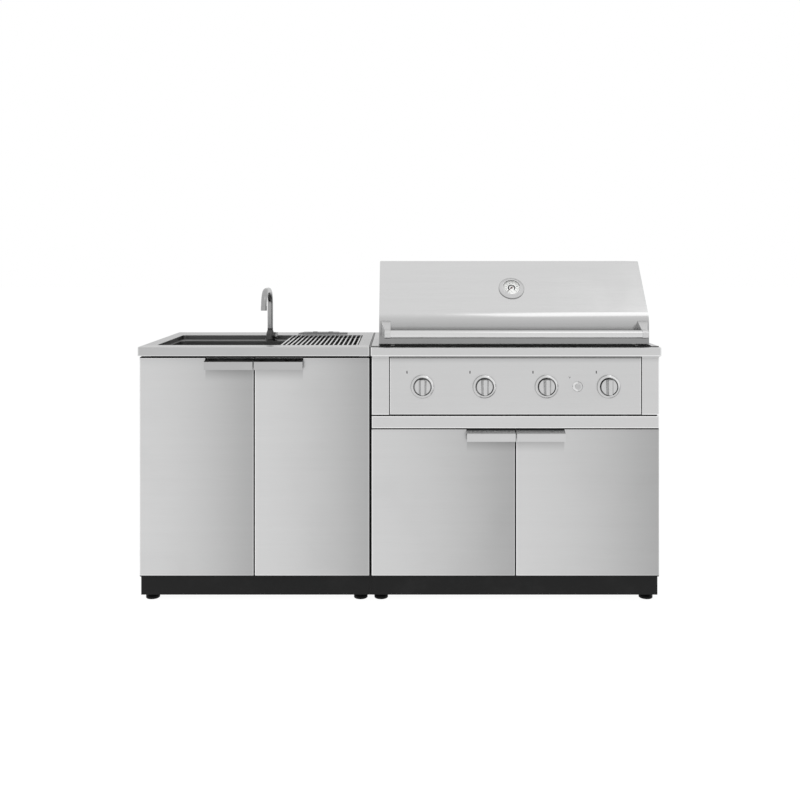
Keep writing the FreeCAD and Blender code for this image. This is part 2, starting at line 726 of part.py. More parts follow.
def sink_basin():
    """Pressed bowl with a recessed ledge all round; the rear ledge is the tap deck."""
    t = BOWL_SHEET
    r = CORNER_RADIUS
    rim_top = COUNTER_TOP - COUNTER_SHEET
    x0, x1, y0, y1 = BOWL_LEFT, WELL_RIGHT, BOWL_FRONT, WELL_REAR
    rim = rounded_plate(
        x0 - BOWL_RIM, x1 + BOWL_RIM, y0 - BOWL_RIM / 2, y1 + BOWL_RIM, rim_top - t, rim_top, r + BOWL_RIM / 2
    )
    well = rounded_plate(x0 - t, x1 + t, y0 - t, y1 + t, LEDGE_TOP - t, rim_top, r + t)
    bx0, bx1, by0, by1 = x0 + LEDGE, x1 - LEDGE, y0 + LEDGE, BOWL_REAR
    bowl = rounded_plate(bx0 - t, bx1 + t, by0 - t, by1 + t, BOWL_FLOOR - t, LEDGE_TOP, 2 * r + t)
    basin = fuse(rim, well, bowl)
    basin = basin.cut(rounded_plate(x0, x1, y0, y1, LEDGE_TOP, COUNTER_TOP, r))
    basin = basin.cut(rounded_plate(bx0, bx1, by0, by1, BOWL_FLOOR, COUNTER_TOP, 2 * r))
    drain = rod(SINK_MIDDLE, DRAIN_Y, BOWL_FLOOR - t - 1, Z, DRAIN_RADIUS + BEZEL_GAP, t + 2)
    tap = rod(SINK_MIDDLE, TAP_SETBACK, LEDGE_TOP - t - 1, Z, SHANK_RADIUS + 1, t + 2)
    return basin.cut(drain).cut(tap)


def drying_rack():
    """Rods from front to back over the right end of the bowl and its deck, on three bars."""
    x1 = WELL_RIGHT - RACK_MARGIN
    y0 = BOWL_FRONT + RACK_MARGIN
    y1 = WELL_REAR - RACK_MARGIN
    foot = LEDGE_TOP + SEAT_GAP
    rod_z = COUNTER_TOP - RACK_ROD
    bar_top = rod_z - RACK_ROD / 2
    count = int(RACK_WIDTH / RACK_PITCH) + 1
    rows = (y0, BOWL_REAR + RACK_BAR, y1 - RACK_BAR)
    bars = [box(x1 - RACK_WIDTH, x1, y, y + RACK_BAR, foot, bar_top) for y in rows]
    rods = [
        rod(x1 - RACK_ROD - i * RACK_PITCH, y0, rod_z, Y, RACK_ROD, y1 - y0) for i in range(count)
    ]
    return fuse(*bars, *rods)


def drain_body():
    """Strainer cup clamped to the bowl's floor by its flange and nut, with the waste tail."""
    r, tail = DRAIN_RADIUS, DRAIN_TAIL_RADIUS
    wall = 2.0
    base = -BOWL_SHEET
    cup = base - DRAIN_DEPTH
    throat = cup - 10
    end = throat - DRAIN_TAIL_LENGTH
    profile = [
        (r - wall, 2), (r + DRAIN_FLANGE, 2), (r + DRAIN_FLANGE, 0), (r + BEZEL_GAP, 0),
        (r + BEZEL_GAP, base), (r + DRAIN_FLANGE - 2, base), (r + DRAIN_FLANGE - 2, base - 10),
        (r, base - 10), (r, cup), (tail, throat), (tail, end), (tail - wall, end),
        (tail - wall, throat + wall), (r - wall, cup + wall),
    ]
    return revolved(profile, SINK_MIDDLE, DRAIN_Y, BOWL_FLOOR, Z)


def drain_basket():
    """Lift-out strainer basket with a finger knob."""
    rim = DRAIN_RADIUS - 4
    low = -0.75 * DRAIN_DEPTH
    lip = 2 + SEAT_GAP
    profile = [
        (0, low), (0.8 * rim, low), (rim, lip), (rim + 8, lip), (rim + 8, lip + 1), (rim - 1, lip + 1),
        (0.8 * rim - 1, low + 1), (2.5, low + 1), (2.5, BASKET_KNOB - 6), (6, BASKET_KNOB - 4),
        (6, BASKET_KNOB), (0, BASKET_KNOB),
    ]
    basket = revolved(profile, SINK_MIDDLE, DRAIN_Y, BOWL_FLOOR, Z)
    holes = [
        rod(SINK_MIDDLE + 18 * math.cos(a), DRAIN_Y + 18 * math.sin(a), BOWL_FLOOR + low - 1, Z, 3, 3)
        for a in [math.radians(45 * i) for i in range(8)]
    ]
    return basket.cut(Part.makeCompound(holes))


def tap_base():
    """Conical tap body with a side hub, and its shank and nut below the deck."""
    x, y, z = SINK_MIDDLE, TAP_SETBACK, LEDGE_TOP
    r = TAP_BASE_RADIUS
    cone = revolved(
        [(0, 0), (r + 4, 0), (r + 4, 3), (r, 5), (r - 2, 26), (TAP_RADIUS, 0.85 * TAP_BASE_HEIGHT),
         (TAP_RADIUS, TAP_BASE_HEIGHT), (0, TAP_BASE_HEIGHT)], x, y, z, Z)
    hub = rod(x, y, z + LEDGE_DEPTH + SHEET * 3, X, TAP_HUB_RADIUS, TAP_HUB_REACH)
    shank = rod(x, y, z - SHANK_LENGTH, Z, SHANK_RADIUS, SHANK_LENGTH + 1)
    nut_top = z - BOWL_SHEET
    nut = rod(x, y, nut_top - NUT_HEIGHT, Z, 1.7 * SHANK_RADIUS, NUT_HEIGHT)
    body = fuse(cone, hub, shank, nut)
    tenon = rod(x, y, z + TAP_BASE_HEIGHT - 20, Z, TAP_TENON + RUNNING_GAP, 21)
    spindle = rod(
        x + TAP_HUB_REACH - 8, y, z + LEDGE_DEPTH + SHEET * 3, X, STEM_RADIUS + RUNNING_GAP, 9
    )
    return body.cut(tenon).cut(spindle)


def tap_spout():
    """Gooseneck that turns in the base: riser, two bends and an aerator."""
    x, y = SINK_MIDDLE, TAP_SETBACK
    low = LEDGE_TOP + TAP_BASE_HEIGHT + SEAT_GAP
    crest = COUNTER_TOP + TAP_RISE
    tip = crest - TAP_DROP
    path = [(y, low), (y, crest), (y - TAP_REACH, crest), (y - TAP_REACH, tip + AERATOR_LENGTH)]
    spine = Part.Wire(rounded_edges(path, {1: TAP_BEND, 2: TAP_BEND}, "x", x))
    ring = Part.Wire(Part.makeCircle(TAP_RADIUS, Vector(x, y, low), Z))
    tube = spine.makePipeShell([ring], True, True)
    aerator = rod(x, y - TAP_REACH, tip, Z, AERATOR_RADIUS, AERATOR_LENGTH)
    tenon = rod(x, y, low - 19, Z, TAP_TENON, 20)
    return fuse(tube, aerator, tenon).cut(rod(x, y - TAP_REACH, tip - 1, Z, 0.75 * AERATOR_RADIUS, 5))


def tap_lever():
    """Side lever: cap, spindle and a stick that points forwards when shut."""
    x, y, z = SINK_MIDDLE + TAP_HUB_REACH + SEAT_GAP, TAP_SETBACK, LEDGE_TOP + LEDGE_DEPTH + SHEET * 3
    cap = rod(x, y, z, X, TAP_HUB_RADIUS, LEVER_CAP)
    spindle = rod(x - 8, y, z, X, STEM_RADIUS, 9)
    stick = rod(x + LEVER_CAP / 2, y - LEVER_LENGTH, z, Y, 2.6, LEVER_LENGTH)
    return fuse(cap, spindle, stick)


def rear_plate():
    """Low plate on the rear rim, a little higher in the middle than at its ends."""
    x1 = SINK_TOP_WIDTH - PLATE_RIGHT
    x0 = x1 - PLATE_LENGTH
    h = PLATE_HEIGHT
    middle = DEPTH - PLATE_SETBACK - PLATE_DEPTH / 2
    left, right = x0 + PLATE_STEP_LEFT, x1 - PLATE_STEP_RIGHT
    outline = [
        (x0, 0), (x1, 0), (x1, 0.7 * h), (right, 0.75 * h), (right - h, h),
        (left + h / 2, h), (left, 0.75 * h), (x0 + h, 0.7 * h), (x0, 0.3 * h),
    ]
    plate = prism(outline, "y", middle - PLATE_DEPTH / 2, middle + PLATE_DEPTH / 2)
    plate.translate(Vector(0, 0, COUNTER_TOP))
    return plate


def sink():
    """Everything that belongs to the sink."""
    save("sink_basin", sink_basin())
    save("drying_rack", drying_rack())
    save("drain_body", drain_body())
    save("drain_basket", drain_basket())
    save("tap_base", tap_base())
    save("tap_spout", tap_spout())
    save("tap_lever", tap_lever())
    save("rear_plate", rear_plate())


# Grill front

def stile(x0):
    """Left-hand upright of the face frame, a channel."""
    inner = x0 + STILE_WIDTH
    back = DOOR_FACE + PANEL_DEPTH
    path = [(x0, PANEL_START), (x0, DOOR_FACE), (inner, DOOR_FACE), (inner, back)]
    return folded(path, SHEET, "z", PANEL_BOTTOM, PANEL_TOP)


def face_rail(x0, x1):
    """Cross rail below the control panel; its rear web hangs down as the doors' stop."""
    path = [
        (DOOR_FACE + PANEL_DEPTH, RAIL_BOTTOM), (DOOR_FACE, RAIL_BOTTOM), (DOOR_FACE, RAIL_TOP),
        (PANEL_START, RAIL_TOP), (PANEL_START, RAIL_BOTTOM - STOP_DROP),
    ]
    return folded(path, -SHEET, "x", x0, x1)


def control_panel(x0, x1):
    """Folded panel with holes for the stems and the igniter; its top flange meets the firebox."""
    t = PANEL_SHEET
    left = x0 + STILE_WIDTH + PANEL_SIDE_GAP
    right = x1 - STILE_WIDTH - PANEL_SIDE_GAP
    back = DOOR_FACE + PANEL_DEPTH
    panel = box(left, right, DOOR_FACE, back, PANEL_BOTTOM, PANEL_TOP)
    front = [e for e in panel.Edges if e.BoundBox.YMax < DOOR_FACE + 1]
    panel = panel.makeFillet(t, front)
    panel = panel.cut(box(left + t, right - t, DOOR_FACE + t, back + 1, PANEL_BOTTOM + t, PANEL_TOP - t))
    flange = box(left, right, back, FIREBOX_FRONT, PANEL_TOP - t, PANEL_TOP)
    panel = fuse(panel, flange)
    holes = [rod(x, DOOR_FACE - 1, KNOB_Z, Y, STEM_RADIUS + 2, t + 2) for x in KNOB_XS]
    holes.append(rod(IGNITER_X, DOOR_FACE - 1, KNOB_Z, Y, IGNITER_BARREL + SEAT_GAP, t + 2))
    return panel.cut(Part.makeCompound(holes))


def knob(x):
    """Knob with a round skirt and a waisted grip bar, bored for the flatted stem."""
    back = DOOR_FACE - KNOB_STANDOFF
    root = back - KNOB_SKIRT
    skirt = rod(x, back, KNOB_Z, Y * -1, KNOB_RADIUS, KNOB_SKIRT)
    rim = [e for e in skirt.Edges if e.BoundBox.YMax < root + 1]
    skirt = skirt.makeFillet(2, rim)
    wide, narrow = GRIP_ROOT / 2, GRIP_WIDTH / 2
    crown = KNOB_FRONT + 1.5
    waist_y = root - 0.45 * (root - crown)

    def at(u, v):
        return Vector(x + u, v, KNOB_Z - KNOB_RADIUS)

    edges = [
        Part.makeLine(at(-wide, root + 1), at(-wide, root)),
        Part.Arc(at(-wide, root), at(-narrow - 1.2, waist_y), at(-narrow, crown)).toShape(),
        Part.Arc(at(-narrow, crown), at(0, KNOB_FRONT), at(narrow, crown)).toShape(),
        Part.Arc(at(narrow, crown), at(narrow + 1.2, waist_y), at(wide, root)).toShape(),
        Part.makeLine(at(wide, root), at(wide, root + 1)),
        Part.makeLine(at(wide, root + 1), at(-wide, root + 1)),
    ]
    bar = Part.Face(Part.Wire(edges)).extrude(Z * 2 * KNOB_RADIUS)
    envelope = Part.makeCone(
        KNOB_RADIUS - 0.6, KNOB_RADIUS - 2.5, root + 1 - KNOB_FRONT, Vector(x, root + 1, KNOB_Z), Y * -1
    )
    body = fuse(skirt, bar.common(envelope))
    depth = back - KNOB_FRONT - 5
    bore = rod(x, back + 1, KNOB_Z, Y * -1, STEM_RADIUS + RUNNING_GAP, depth + 1)
    flat = STEM_FLAT + RUNNING_GAP
    keep = box(x - 10, x + 10, back - depth - 1, back + 2, KNOB_Z - 10, KNOB_Z + flat)
    return body.cut(bore.common(keep))


def valve_stem(x):
    """Stem that turns in the valve; a flat on its front end drives the knob."""
    tip = KNOB_FRONT + 5 + KNOB_PUSH + 1
    stem = rod(x, tip, KNOB_Z, Y, STEM_RADIUS, VALVE_FRONT + 10 - tip)
    shoulder = DOOR_FACE - KNOB_STANDOFF + KNOB_PUSH + 1
    flat = box(x - 10, x + 10, tip - 1, shoulder, KNOB_Z + STEM_FLAT, KNOB_Z + 10)
    return stem.cut(flat)


def bezel(x):
    """Polished ring around a knob, with a rounded face."""
    inner = KNOB_RADIUS + BEZEL_GAP
    h = BEZEL_HEIGHT
    profile = [
        (inner, 0), (BEZEL_RADIUS, 0), (BEZEL_RADIUS, 0.25 * h), (BEZEL_RADIUS - 0.25 * h, 0.7 * h),
        (BEZEL_RADIUS - 0.6 * h, h), (inner + 0.25 * h, h), (inner, 0.8 * h),
    ]
    return revolved(profile, x, DOOR_FACE, KNOB_Z, Y * -1)


def gas_valve(x):
    """Brass valve on the manifold, with an orifice that points into the burner."""
    body = rod(x, VALVE_FRONT, KNOB_Z, Y, VALVE_RADIUS, VALVE_LENGTH)
    neck_low = KNOB_Z - MANIFOLD_DROP + MANIFOLD_RADIUS
    neck = rod(x, MANIFOLD_SETBACK, neck_low, Z, 7, MANIFOLD_DROP - MANIFOLD_RADIUS)
    orifice = rod(x, VALVE_FRONT + VALVE_LENGTH - 1, KNOB_Z, Y, 4, 7)
    bore = rod(x, VALVE_FRONT - 1, KNOB_Z, Y, STEM_RADIUS + RUNNING_GAP, 12)
    saddle = rod(
        x - 2 * VALVE_RADIUS, MANIFOLD_SETBACK, KNOB_Z - MANIFOLD_DROP, X, MANIFOLD_RADIUS, 4 * VALVE_RADIUS
    )
    base = rod(x, MANIFOLD_SETBACK, neck_low - 4, Z, 7, 5)
    return fuse(body, neck, base, orifice).cut(bore).cut(saddle)


def manifold_bracket(x):
    """Tab that holds the supply tube to the firebox's front wall."""
    z = KNOB_Z - MANIFOLD_DROP
    path = [(MANIFOLD_SETBACK, z), (FIREBOX_FRONT, z), (FIREBOX_FRONT, z + 2 * MANIFOLD_RADIUS)]
    return folded(path, FLANGE_SHEET, "x", x - MANIFOLD_RADIUS, x + MANIFOLD_RADIUS)


def gas_manifold():
    """Supply tube under the valves, with a drop pipe and a flare fitting at its right end."""
    z = KNOB_Z - MANIFOLD_DROP
    left = KNOB_XS[0] - MANIFOLD_END
    right = KNOB_XS[-1] + INLET_OFFSET
    tube = rod(left, MANIFOLD_SETBACK, z, X, MANIFOLD_RADIUS, right - left)
    low = z - INLET_DROP
    drop = rod(right, MANIFOLD_SETBACK, low, Z, MANIFOLD_RADIUS, INLET_DROP)
    elbow = Part.makeSphere(MANIFOLD_RADIUS, Vector(right, MANIFOLD_SETBACK, z))
    nut = rod(right, MANIFOLD_SETBACK, low - 10, Z, MANIFOLD_RADIUS + 2, 12)
    flare = rod(right, MANIFOLD_SETBACK, low - 10 - INLET_LENGTH, Z, INLET_RADIUS, INLET_LENGTH + 1)
    tabs = [manifold_bracket((a + b) / 2) for a, b in zip(KNOB_XS, KNOB_XS[1:])]
    body = fuse(tube, drop, elbow, nut, flare, *tabs)
    bore = rod(right, MANIFOLD_SETBACK, low - 11 - INLET_LENGTH, Z, 4, INLET_LENGTH + INLET_DROP)
    return body.cut(bore)


def igniter_housing():
    """Ring on the panel and the barrel that guides the button."""
    rise, bevel = IGNITER_RISE, IGNITER_RISE / 2
    inside = IGNITER_WALL - IGNITER_DEPTH
    profile = [
        (IGNITER_BUTTON + RUNNING_GAP, rise), (IGNITER_RING - bevel, rise), (IGNITER_RING, bevel),
        (IGNITER_RING, 0), (IGNITER_BARREL, 0), (IGNITER_BARREL, -IGNITER_DEPTH), (0, -IGNITER_DEPTH),
        (0, inside), (IGNITER_BUTTON + RUNNING_GAP, inside),
    ]
    return revolved(profile, IGNITER_X, DOOR_FACE, KNOB_Z, Y * -1)


def igniter_button():
    """Push button, domed a little at its face."""
    h = IGNITER_PROUD
    low = IGNITER_WALL + IGNITER_TRAVEL - IGNITER_DEPTH
    profile = [
        (0, h), (0.7 * IGNITER_BUTTON, 0.96 * h), (IGNITER_BUTTON, 0.8 * h), (IGNITER_BUTTON, low), (0, low)
    ]
    return revolved(profile, IGNITER_X, DOOR_FACE, KNOB_Z, Y * -1)


def grill_front():
    """Face frame, control panel, gas train and knobs."""
    x0, x1 = BODIES[1]
    left_stile = stile(x0)
    save("face_frame", left_stile, mirrored(left_stile, GRILL_MIDDLE), face_rail(x0, x1))
    save("control_panel", control_panel(x0, x1))
    save("panel_bezels", igniter_housing(), *[bezel(x) for x in KNOB_XS])
    save("gas_valves", *[gas_valve(x) for x in KNOB_XS])
    save("gas_manifold", gas_manifold())
    for number, x in enumerate(KNOB_XS, 1):
        save("knob_%d" % number, knob(x))
        save("valve_stem_%d" % number, valve_stem(x))
    save("igniter_button", igniter_button())


# Grill body

def end_wall(y, inward):
    """Front or rear firebox wall; inward is 1 when the grill lies behind it, -1 before it."""
    t = FIREBOX_SHEET
    inner = y + inward * t
    outer_lip = y - inward * FIREBOX_FLANGE
    wall = box(FIREBOX_LEFT, FIREBOX_RIGHT, min(y, inner), max(y, inner), FIREBOX_BASE, FLANGE_TOP)
    lip = box(FIREBOX_LEFT, FIREBOX_RIGHT, min(y, outer_lip), max(y, outer_lip), COUNTER_TOP, FLANGE_TOP)
    pieces = [lip]
    for drop in (GRATE_LEDGE, TAMER_LEDGE):
        reach = inner + inward * LEDGE_REACH
        top = COUNTER_TOP - drop
        pieces.append(box(FIREBOX_LEFT + t, FIREBOX_RIGHT - t, min(inner, reach), max(inner, reach),
                          top - t, top))
    return fuse(wall, *pieces)


def side_wall():
    """Left-hand firebox wall with its flange, the lid's pivot ear and the pivot pin."""
    t = FIREBOX_SHEET
    x = FIREBOX_LEFT
    wall = box(x, x + t, FIREBOX_FRONT + t, FIREBOX_REAR - t, FIREBOX_BASE, FLANGE_TOP)
    lip = box(
        x - FIREBOX_FLANGE, x, FIREBOX_FRONT - FIREBOX_FLANGE, FIREBOX_REAR + FIREBOX_FLANGE,
        COUNTER_TOP, FLANGE_TOP,
    )
    ear_x = LID_LEFT + LID_SHEET + 8
    ear_top = HINGE_Z
    ear = box(ear_x, ear_x + EAR_SHEET, HINGE_Y - 12, HINGE_Y + 7, COUNTER_TOP + SHEET / 2, ear_top)
    crown = rod(ear_x, HINGE_Y, HINGE_Z, X, 7, EAR_SHEET)
    cheek = prism(
        [(HINGE_Y - 12, ear_top), (HINGE_Y, ear_top), (HINGE_Y, ear_top + 7), (HINGE_Y - 3, ear_top + 6)],
        "x", ear_x, ear_x + EAR_SHEET,
    )
    pin = rod(LID_LEFT - 1.5, HINGE_Y, HINGE_Z, X, HINGE_RADIUS, ear_x + EAR_SHEET - LID_LEFT + 1.5)
    return fuse(wall, lip, ear, crown, cheek, pin)


def firebox_walls():
    """Four walls; the front one lets the burner necks in and the rear one holds their pins."""
    front = end_wall(FIREBOX_FRONT, 1)
    rear = end_wall(FIREBOX_REAR, -1)
    for x in KNOB_XS:
        front = front.cut(rod(x, FIREBOX_FRONT - 1, KNOB_Z, Y, BURNER_NECK + SEAT_GAP, FIREBOX_SHEET + 2))
        rear = rear.cut(rod(x, FIREBOX_REAR + 1, KNOB_Z, Y * -1, BURNER_PIN + SEAT_GAP, FIREBOX_SHEET + 2))
    left = side_wall()
    return [front, rear, left, mirrored(left, GRILL_MIDDLE)]


def plan_wire(x0, x1, y0, y1, z):
    """A level rectangle as a wire."""
    corners = [Vector(x0, y0, z), Vector(x1, y0, z), Vector(x1, y1, z), Vector(x0, y1, z)]
    return Part.makePolygon(corners + corners[:1])


def hopper():
    """Sloping floor of the firebox down to the outlet, with the tray's two runners."""
    t = FIREBOX_SHEET
    cx, cy = GRILL_MIDDLE, FIREBOX_MIDDLE
    hw, hd = OUTLET_WIDTH / 2, OUTLET_DEPTH / 2
    top, low = FIREBOX_BASE, OUTLET_TOP
    outer = Part.makeLoft([
        plan_wire(FIREBOX_LEFT, FIREBOX_RIGHT, FIREBOX_FRONT, FIREBOX_REAR, top),
        plan_wire(cx - hw, cx + hw, cy - hd, cy + hd, low)], True, True)
    inner = Part.makeLoft([
        plan_wire(FIREBOX_LEFT + t, FIREBOX_RIGHT - t, FIREBOX_FRONT + t, FIREBOX_REAR - t, top),
        plan_wire(cx - hw + t, cx + hw - t, cy - hd + t, cy + hd - t, low)], True, True)
    rest = TRAY_TOP - TRAY_SHEET - SEAT_GAP
    path = [(cx - hw, low), (cx - hw, rest - t), (cx - hw + TRAY_LIP + t, rest - t)]
    runner = folded(path, t, "y", cy - hd, cy + hd)
    return fuse(outer.cut(inner), runner, mirrored(runner, cx))


def grease_tray():
    """Shallow pan whose lips slide on the runners, with a finger lip at its front."""
    t = TRAY_SHEET
    cx, cy = GRILL_MIDDLE, FIREBOX_MIDDLE
    hw = OUTLET_WIDTH / 2 - FIREBOX_SHEET - TRAY_LIP - 1
    hd = OUTLET_DEPTH / 2 - 1
    low = TRAY_TOP - TRAY_DEPTH
    pan = box(cx - hw, cx + hw, cy - hd, cy + hd, low, TRAY_TOP)
    pan = pan.cut(box(cx - hw + t, cx + hw - t, cy - hd + t, cy + hd - t, low + t, TRAY_TOP + 1))
    lip = box(cx - hw - TRAY_LIP, cx - hw, cy - hd, cy + hd, TRAY_TOP - t, TRAY_TOP)
    grip = folded(
        [(cy - hd, TRAY_TOP), (cy - hd - 12, TRAY_TOP), (cy - hd - 12, TRAY_TOP - 10)], t, "x",
        cx - TRAY_GRIP / 2, cx + TRAY_GRIP / 2,
    )
    return fuse(pan, lip, mirrored(lip, cx), grip)


def burner(x):
    """Tube burner: open neck at the valve, swelling to the ported tube, with a rear pin."""
    wall = 1.5
    y0 = VALVE_FRONT + VALVE_LENGTH + 2
    y1 = FIREBOX_REAR - 30
    neck_end = FIREBOX_FRONT + 30 - y0
    tube_start = neck_end + 35
    end = y1 - y0
    r, n = BURNER_RADIUS, BURNER_NECK
    profile = [
        (n - wall, 0), (n, 0), (n, neck_end), (r, tube_start), (r, end - 4), (r - 4, end),
        (BURNER_PIN, end), (BURNER_PIN, FIREBOX_REAR + 4 - y0), (0, FIREBOX_REAR + 4 - y0), (0, end - wall),
        (r - 4 - wall, end - wall), (r - wall, end - 4 - wall), (r - wall, tube_start), (n - wall, neck_end),
    ]
    return revolved(profile, x, y0, KNOB_Z, Y)


def flame_tamer(x):
    """Bent sheet that stands over a burner on the two lower ledges."""
    low = COUNTER_TOP - TAMER_LEDGE + SEAT_GAP
    half = TAMER_WIDTH / 2
    path = [
        (x - half, low), (x - half, low + 8), (x, low + TAMER_HEIGHT), (x + half, low + 8), (x + half, low)
    ]
    return folded(path, -SHEET, "y", FIREBOX_FRONT + FIREBOX_SHEET + 2, FIREBOX_REAR - FIREBOX_SHEET - 2)


def cooking_grate(number):
    """One of the side-by-side rod grates, on the two upper ledges."""
    t = FIREBOX_SHEET
    span = (FIREBOX_WIDTH - 2 * t - GRATE_GAP * (GRATE_COUNT + 1)) / GRATE_COUNT
    x0 = FIREBOX_LEFT + t + GRATE_GAP + number * (span + GRATE_GAP)
    y0, y1 = FIREBOX_FRONT + t + 2, FIREBOX_REAR - t - 2
    foot = COUNTER_TOP - GRATE_LEDGE + SEAT_GAP
    bar_top = foot + 9
    bars = [
        box(x0, x0 + span, y, y + GRATE_BAR, foot, bar_top)
        for y in (y0, (y0 + y1 - GRATE_BAR) / 2, y1 - GRATE_BAR)
    ]
    gaps = int((span - 2 * GRATE_ROD) / GRATE_PITCH)
    pitch = (span - 2 * GRATE_ROD) / gaps
    z = bar_top + GRATE_ROD - 1
    rods = [rod(x0 + GRATE_ROD + i * pitch, y0, z, Y, GRATE_ROD, y1 - y0) for i in range(gaps + 1)]
    return fuse(bars[0], bars[1], bars[2], *rods)


def warming_rack():
    """Upper rack of cross rods on two end frames that stand on the firebox's flange."""
    x0, x1 = GRILL_MIDDLE - WARMER_WIDTH / 2, GRILL_MIDDLE + WARMER_WIDTH / 2
    y1 = FIREBOX_REAR - 30
    y0 = y1 - WARMER_DEPTH
    z = COUNTER_TOP + WARMER_RISE
    r = WARMER_ROD
    reach = FIREBOX_LEFT - FIREBOX_FLANGE / 2 - x0
    count = int(WARMER_DEPTH / WARMER_PITCH) + 1
    rods = [rod(x0, y0 + i * WARMER_PITCH, z, X, r, x1 - x0) for i in range(count)]
    low = FLANGE_TOP + SEAT_GAP
    ends = []
    for x, out in ((x0, 1), (x1, -1)):
        foot_x = x + out * reach
        for y in (y0, y0 + (count - 1) * WARMER_PITCH):
            leg = box(foot_x - r, foot_x + r, y - r, y + r, low, z + r)
            arm = box(min(x, foot_x) - r, max(x, foot_x) + r, y - r, y + r, z - r, z + r)
            ends += [leg, arm]
        ends.append(box(x - r, x + r, y0 - r, y0 + (count - 1) * WARMER_PITCH + r, z - r, z + r))
    return fuse(rods[0], *(rods[1:] + ends))


def grill_body():
    """Firebox with what stands in it."""
    save("firebox_walls", *firebox_walls())
    save("firebox_hopper", hopper())
    save("grease_tray", grease_tray())
    save("burners", *[burner(x) for x in KNOB_XS])
    save("flame_tamers", *[flame_tamer(x) for x in KNOB_XS])
    for number in range(GRATE_COUNT):
        save("cooking_grate_%d" % (number + 1), cooking_grate(number))
    save("warming_rack", warming_rack())


# Lid

LID_PATH = [
    (LID_FRONT + LID_HEM, LID_BOTTOM), (LID_FRONT, LID_BOTTOM), (LID_FRONT, LID_KNEE),
    (LID_BROW, LID_TOP), (LID_REAR, LID_TOP), (LID_REAR, LID_BOTTOM + LID_REAR_EDGE),
]
LID_RADII = {2: LID_KNEE_RADIUS, 3: LID_BROW_RADIUS, 4: LID_REAR_RADIUS}


def lid_profile(x):
    """Closed outline of the lid's end, cut round the hinge so that it clears the counter."""
    sweep = HINGE_Z - LID_BOTTOM
    side = LID_REAR - HINGE_Y
    heel = (LID_REAR, HINGE_Z - math.sqrt(sweep ** 2 - side ** 2))
    toe = (HINGE_Y, LID_BOTTOM)
    lean = math.atan2(heel[1] - HINGE_Z, side) / 2 - math.pi / 4
    middle = (HINGE_Y + sweep * math.cos(lean), HINGE_Z + sweep * math.sin(lean))
    path = LID_PATH[1:5] + [heel]
    radii = {i - 1: radius for i, radius in LID_RADII.items()}
    edges = rounded_edges(path, radii, "x", x)
    edges.append(Part.Arc(*[placed("x", x, *p) for p in (heel, middle, toe)]).toShape())
    edges.append(Part.makeLine(placed("x", x, *toe), placed("x", x, *path[0])))
    return Part.Face(Part.Wire(edges))


def gauge_hole(depth):
    """Clearance hole for the gauge's probe, square to the lid's slope."""
    start = GAUGE_BASE + GAUGE_AXIS * 5
    return Part.makeCylinder(5.5, depth + 5, start, GAUGE_AXIS * -1)


def lid_shell():
    """Outer lid: one sheet bent over the knee, brow and back, two end plates and their pivot bosses."""
    t = LID_SHEET
    sheet = folded(LID_PATH, -t, "x", LID_LEFT + t, LID_RIGHT - t, LID_RADII).cut(gauge_hole(5))
    bore = rod(LID_LEFT - 1, HINGE_Y, HINGE_Z, X, HINGE_RADIUS + RUNNING_GAP, BOSS_LENGTH + t + 2)
    plate = lid_profile(LID_LEFT).extrude(X * t).cut(bore)
    boss = rod(LID_LEFT + t, HINGE_Y, HINGE_Z, X, HINGE_RADIUS + BOSS_WALL, BOSS_LENGTH).cut(bore)
    return [sheet, plate, boss, mirrored(plate, GRILL_MIDDLE), mirrored(boss, GRILL_MIDDLE)]


def lid_liner():
    """Inner skin, held off the outer lid by its front and rear folds."""
    core = beside(LID_PATH, -(LID_SHEET + LINER_GAP))
    touch = LID_SHEET
    front, rear = core[2][0], core[4][0]
    path = [
        (LID_FRONT + touch, LID_BOTTOM + LINER_FOOT), (front, LID_BOTTOM + LINER_FOOT), core[2], core[3],
        core[4], (rear, LID_BOTTOM + LINER_REAR), (LID_REAR - touch, LID_BOTTOM + LINER_REAR),
    ]
    shift = LID_SHEET + LINER_GAP
    radii = {2: LID_KNEE_RADIUS - shift, 4: LID_REAR_RADIUS - shift}
    liner = folded(path, -1.0, "x", FIREBOX_LEFT, FIREBOX_RIGHT, radii)
    return liner.cut(gauge_hole(2 * LINER_GAP))


def handle_bracket():
    """Right-hand cast bracket: wide on the lid, narrow at the tube, with a hub round it."""
    x0 = LID_RIGHT - BRACKET_INSET - BRACKET_ROOT

    def section(width, y, low, high):
        corners = [Vector(x0, y, low), Vector(x0 + width, y, low), Vector(x0 + width, y, high),
                   Vector(x0, y, high)]
        return Part.makePolygon(corners + corners[:1])

    arm = Part.makeLoft([
        section(BRACKET_ROOT, LID_FRONT + 6, HANDLE_Z - BRACKET_FOOT, HANDLE_Z + BRACKET_TOP),
        section(BRACKET_FRONT, 4, HANDLE_Z - BRACKET_FOOT, HANDLE_Z + HUB_RADIUS - 1)], True, True)
    hub = rod(x0, 0, HANDLE_Z, X, HUB_RADIUS, BRACKET_FRONT)
    lid = lid_profile(LID_LEFT).extrude(X * (LID_RIGHT - LID_LEFT))
    socket = rod(x0 - 1, 0, HANDLE_Z, X, HANDLE_RADIUS, 9)
    return fuse(arm, hub).cut(lid).cut(socket)


def handle_tube():
    """Straight tube seated in both brackets."""
    right = LID_RIGHT - BRACKET_INSET - BRACKET_ROOT + 8
    left = 2 * GRILL_MIDDLE - right
    tube = rod(left, 0, HANDLE_Z, X, HANDLE_RADIUS, right - left)
    return tube.cut(rod(left - 1, 0, HANDLE_Z, X, HANDLE_RADIUS - HANDLE_WALL, right - left + 2))


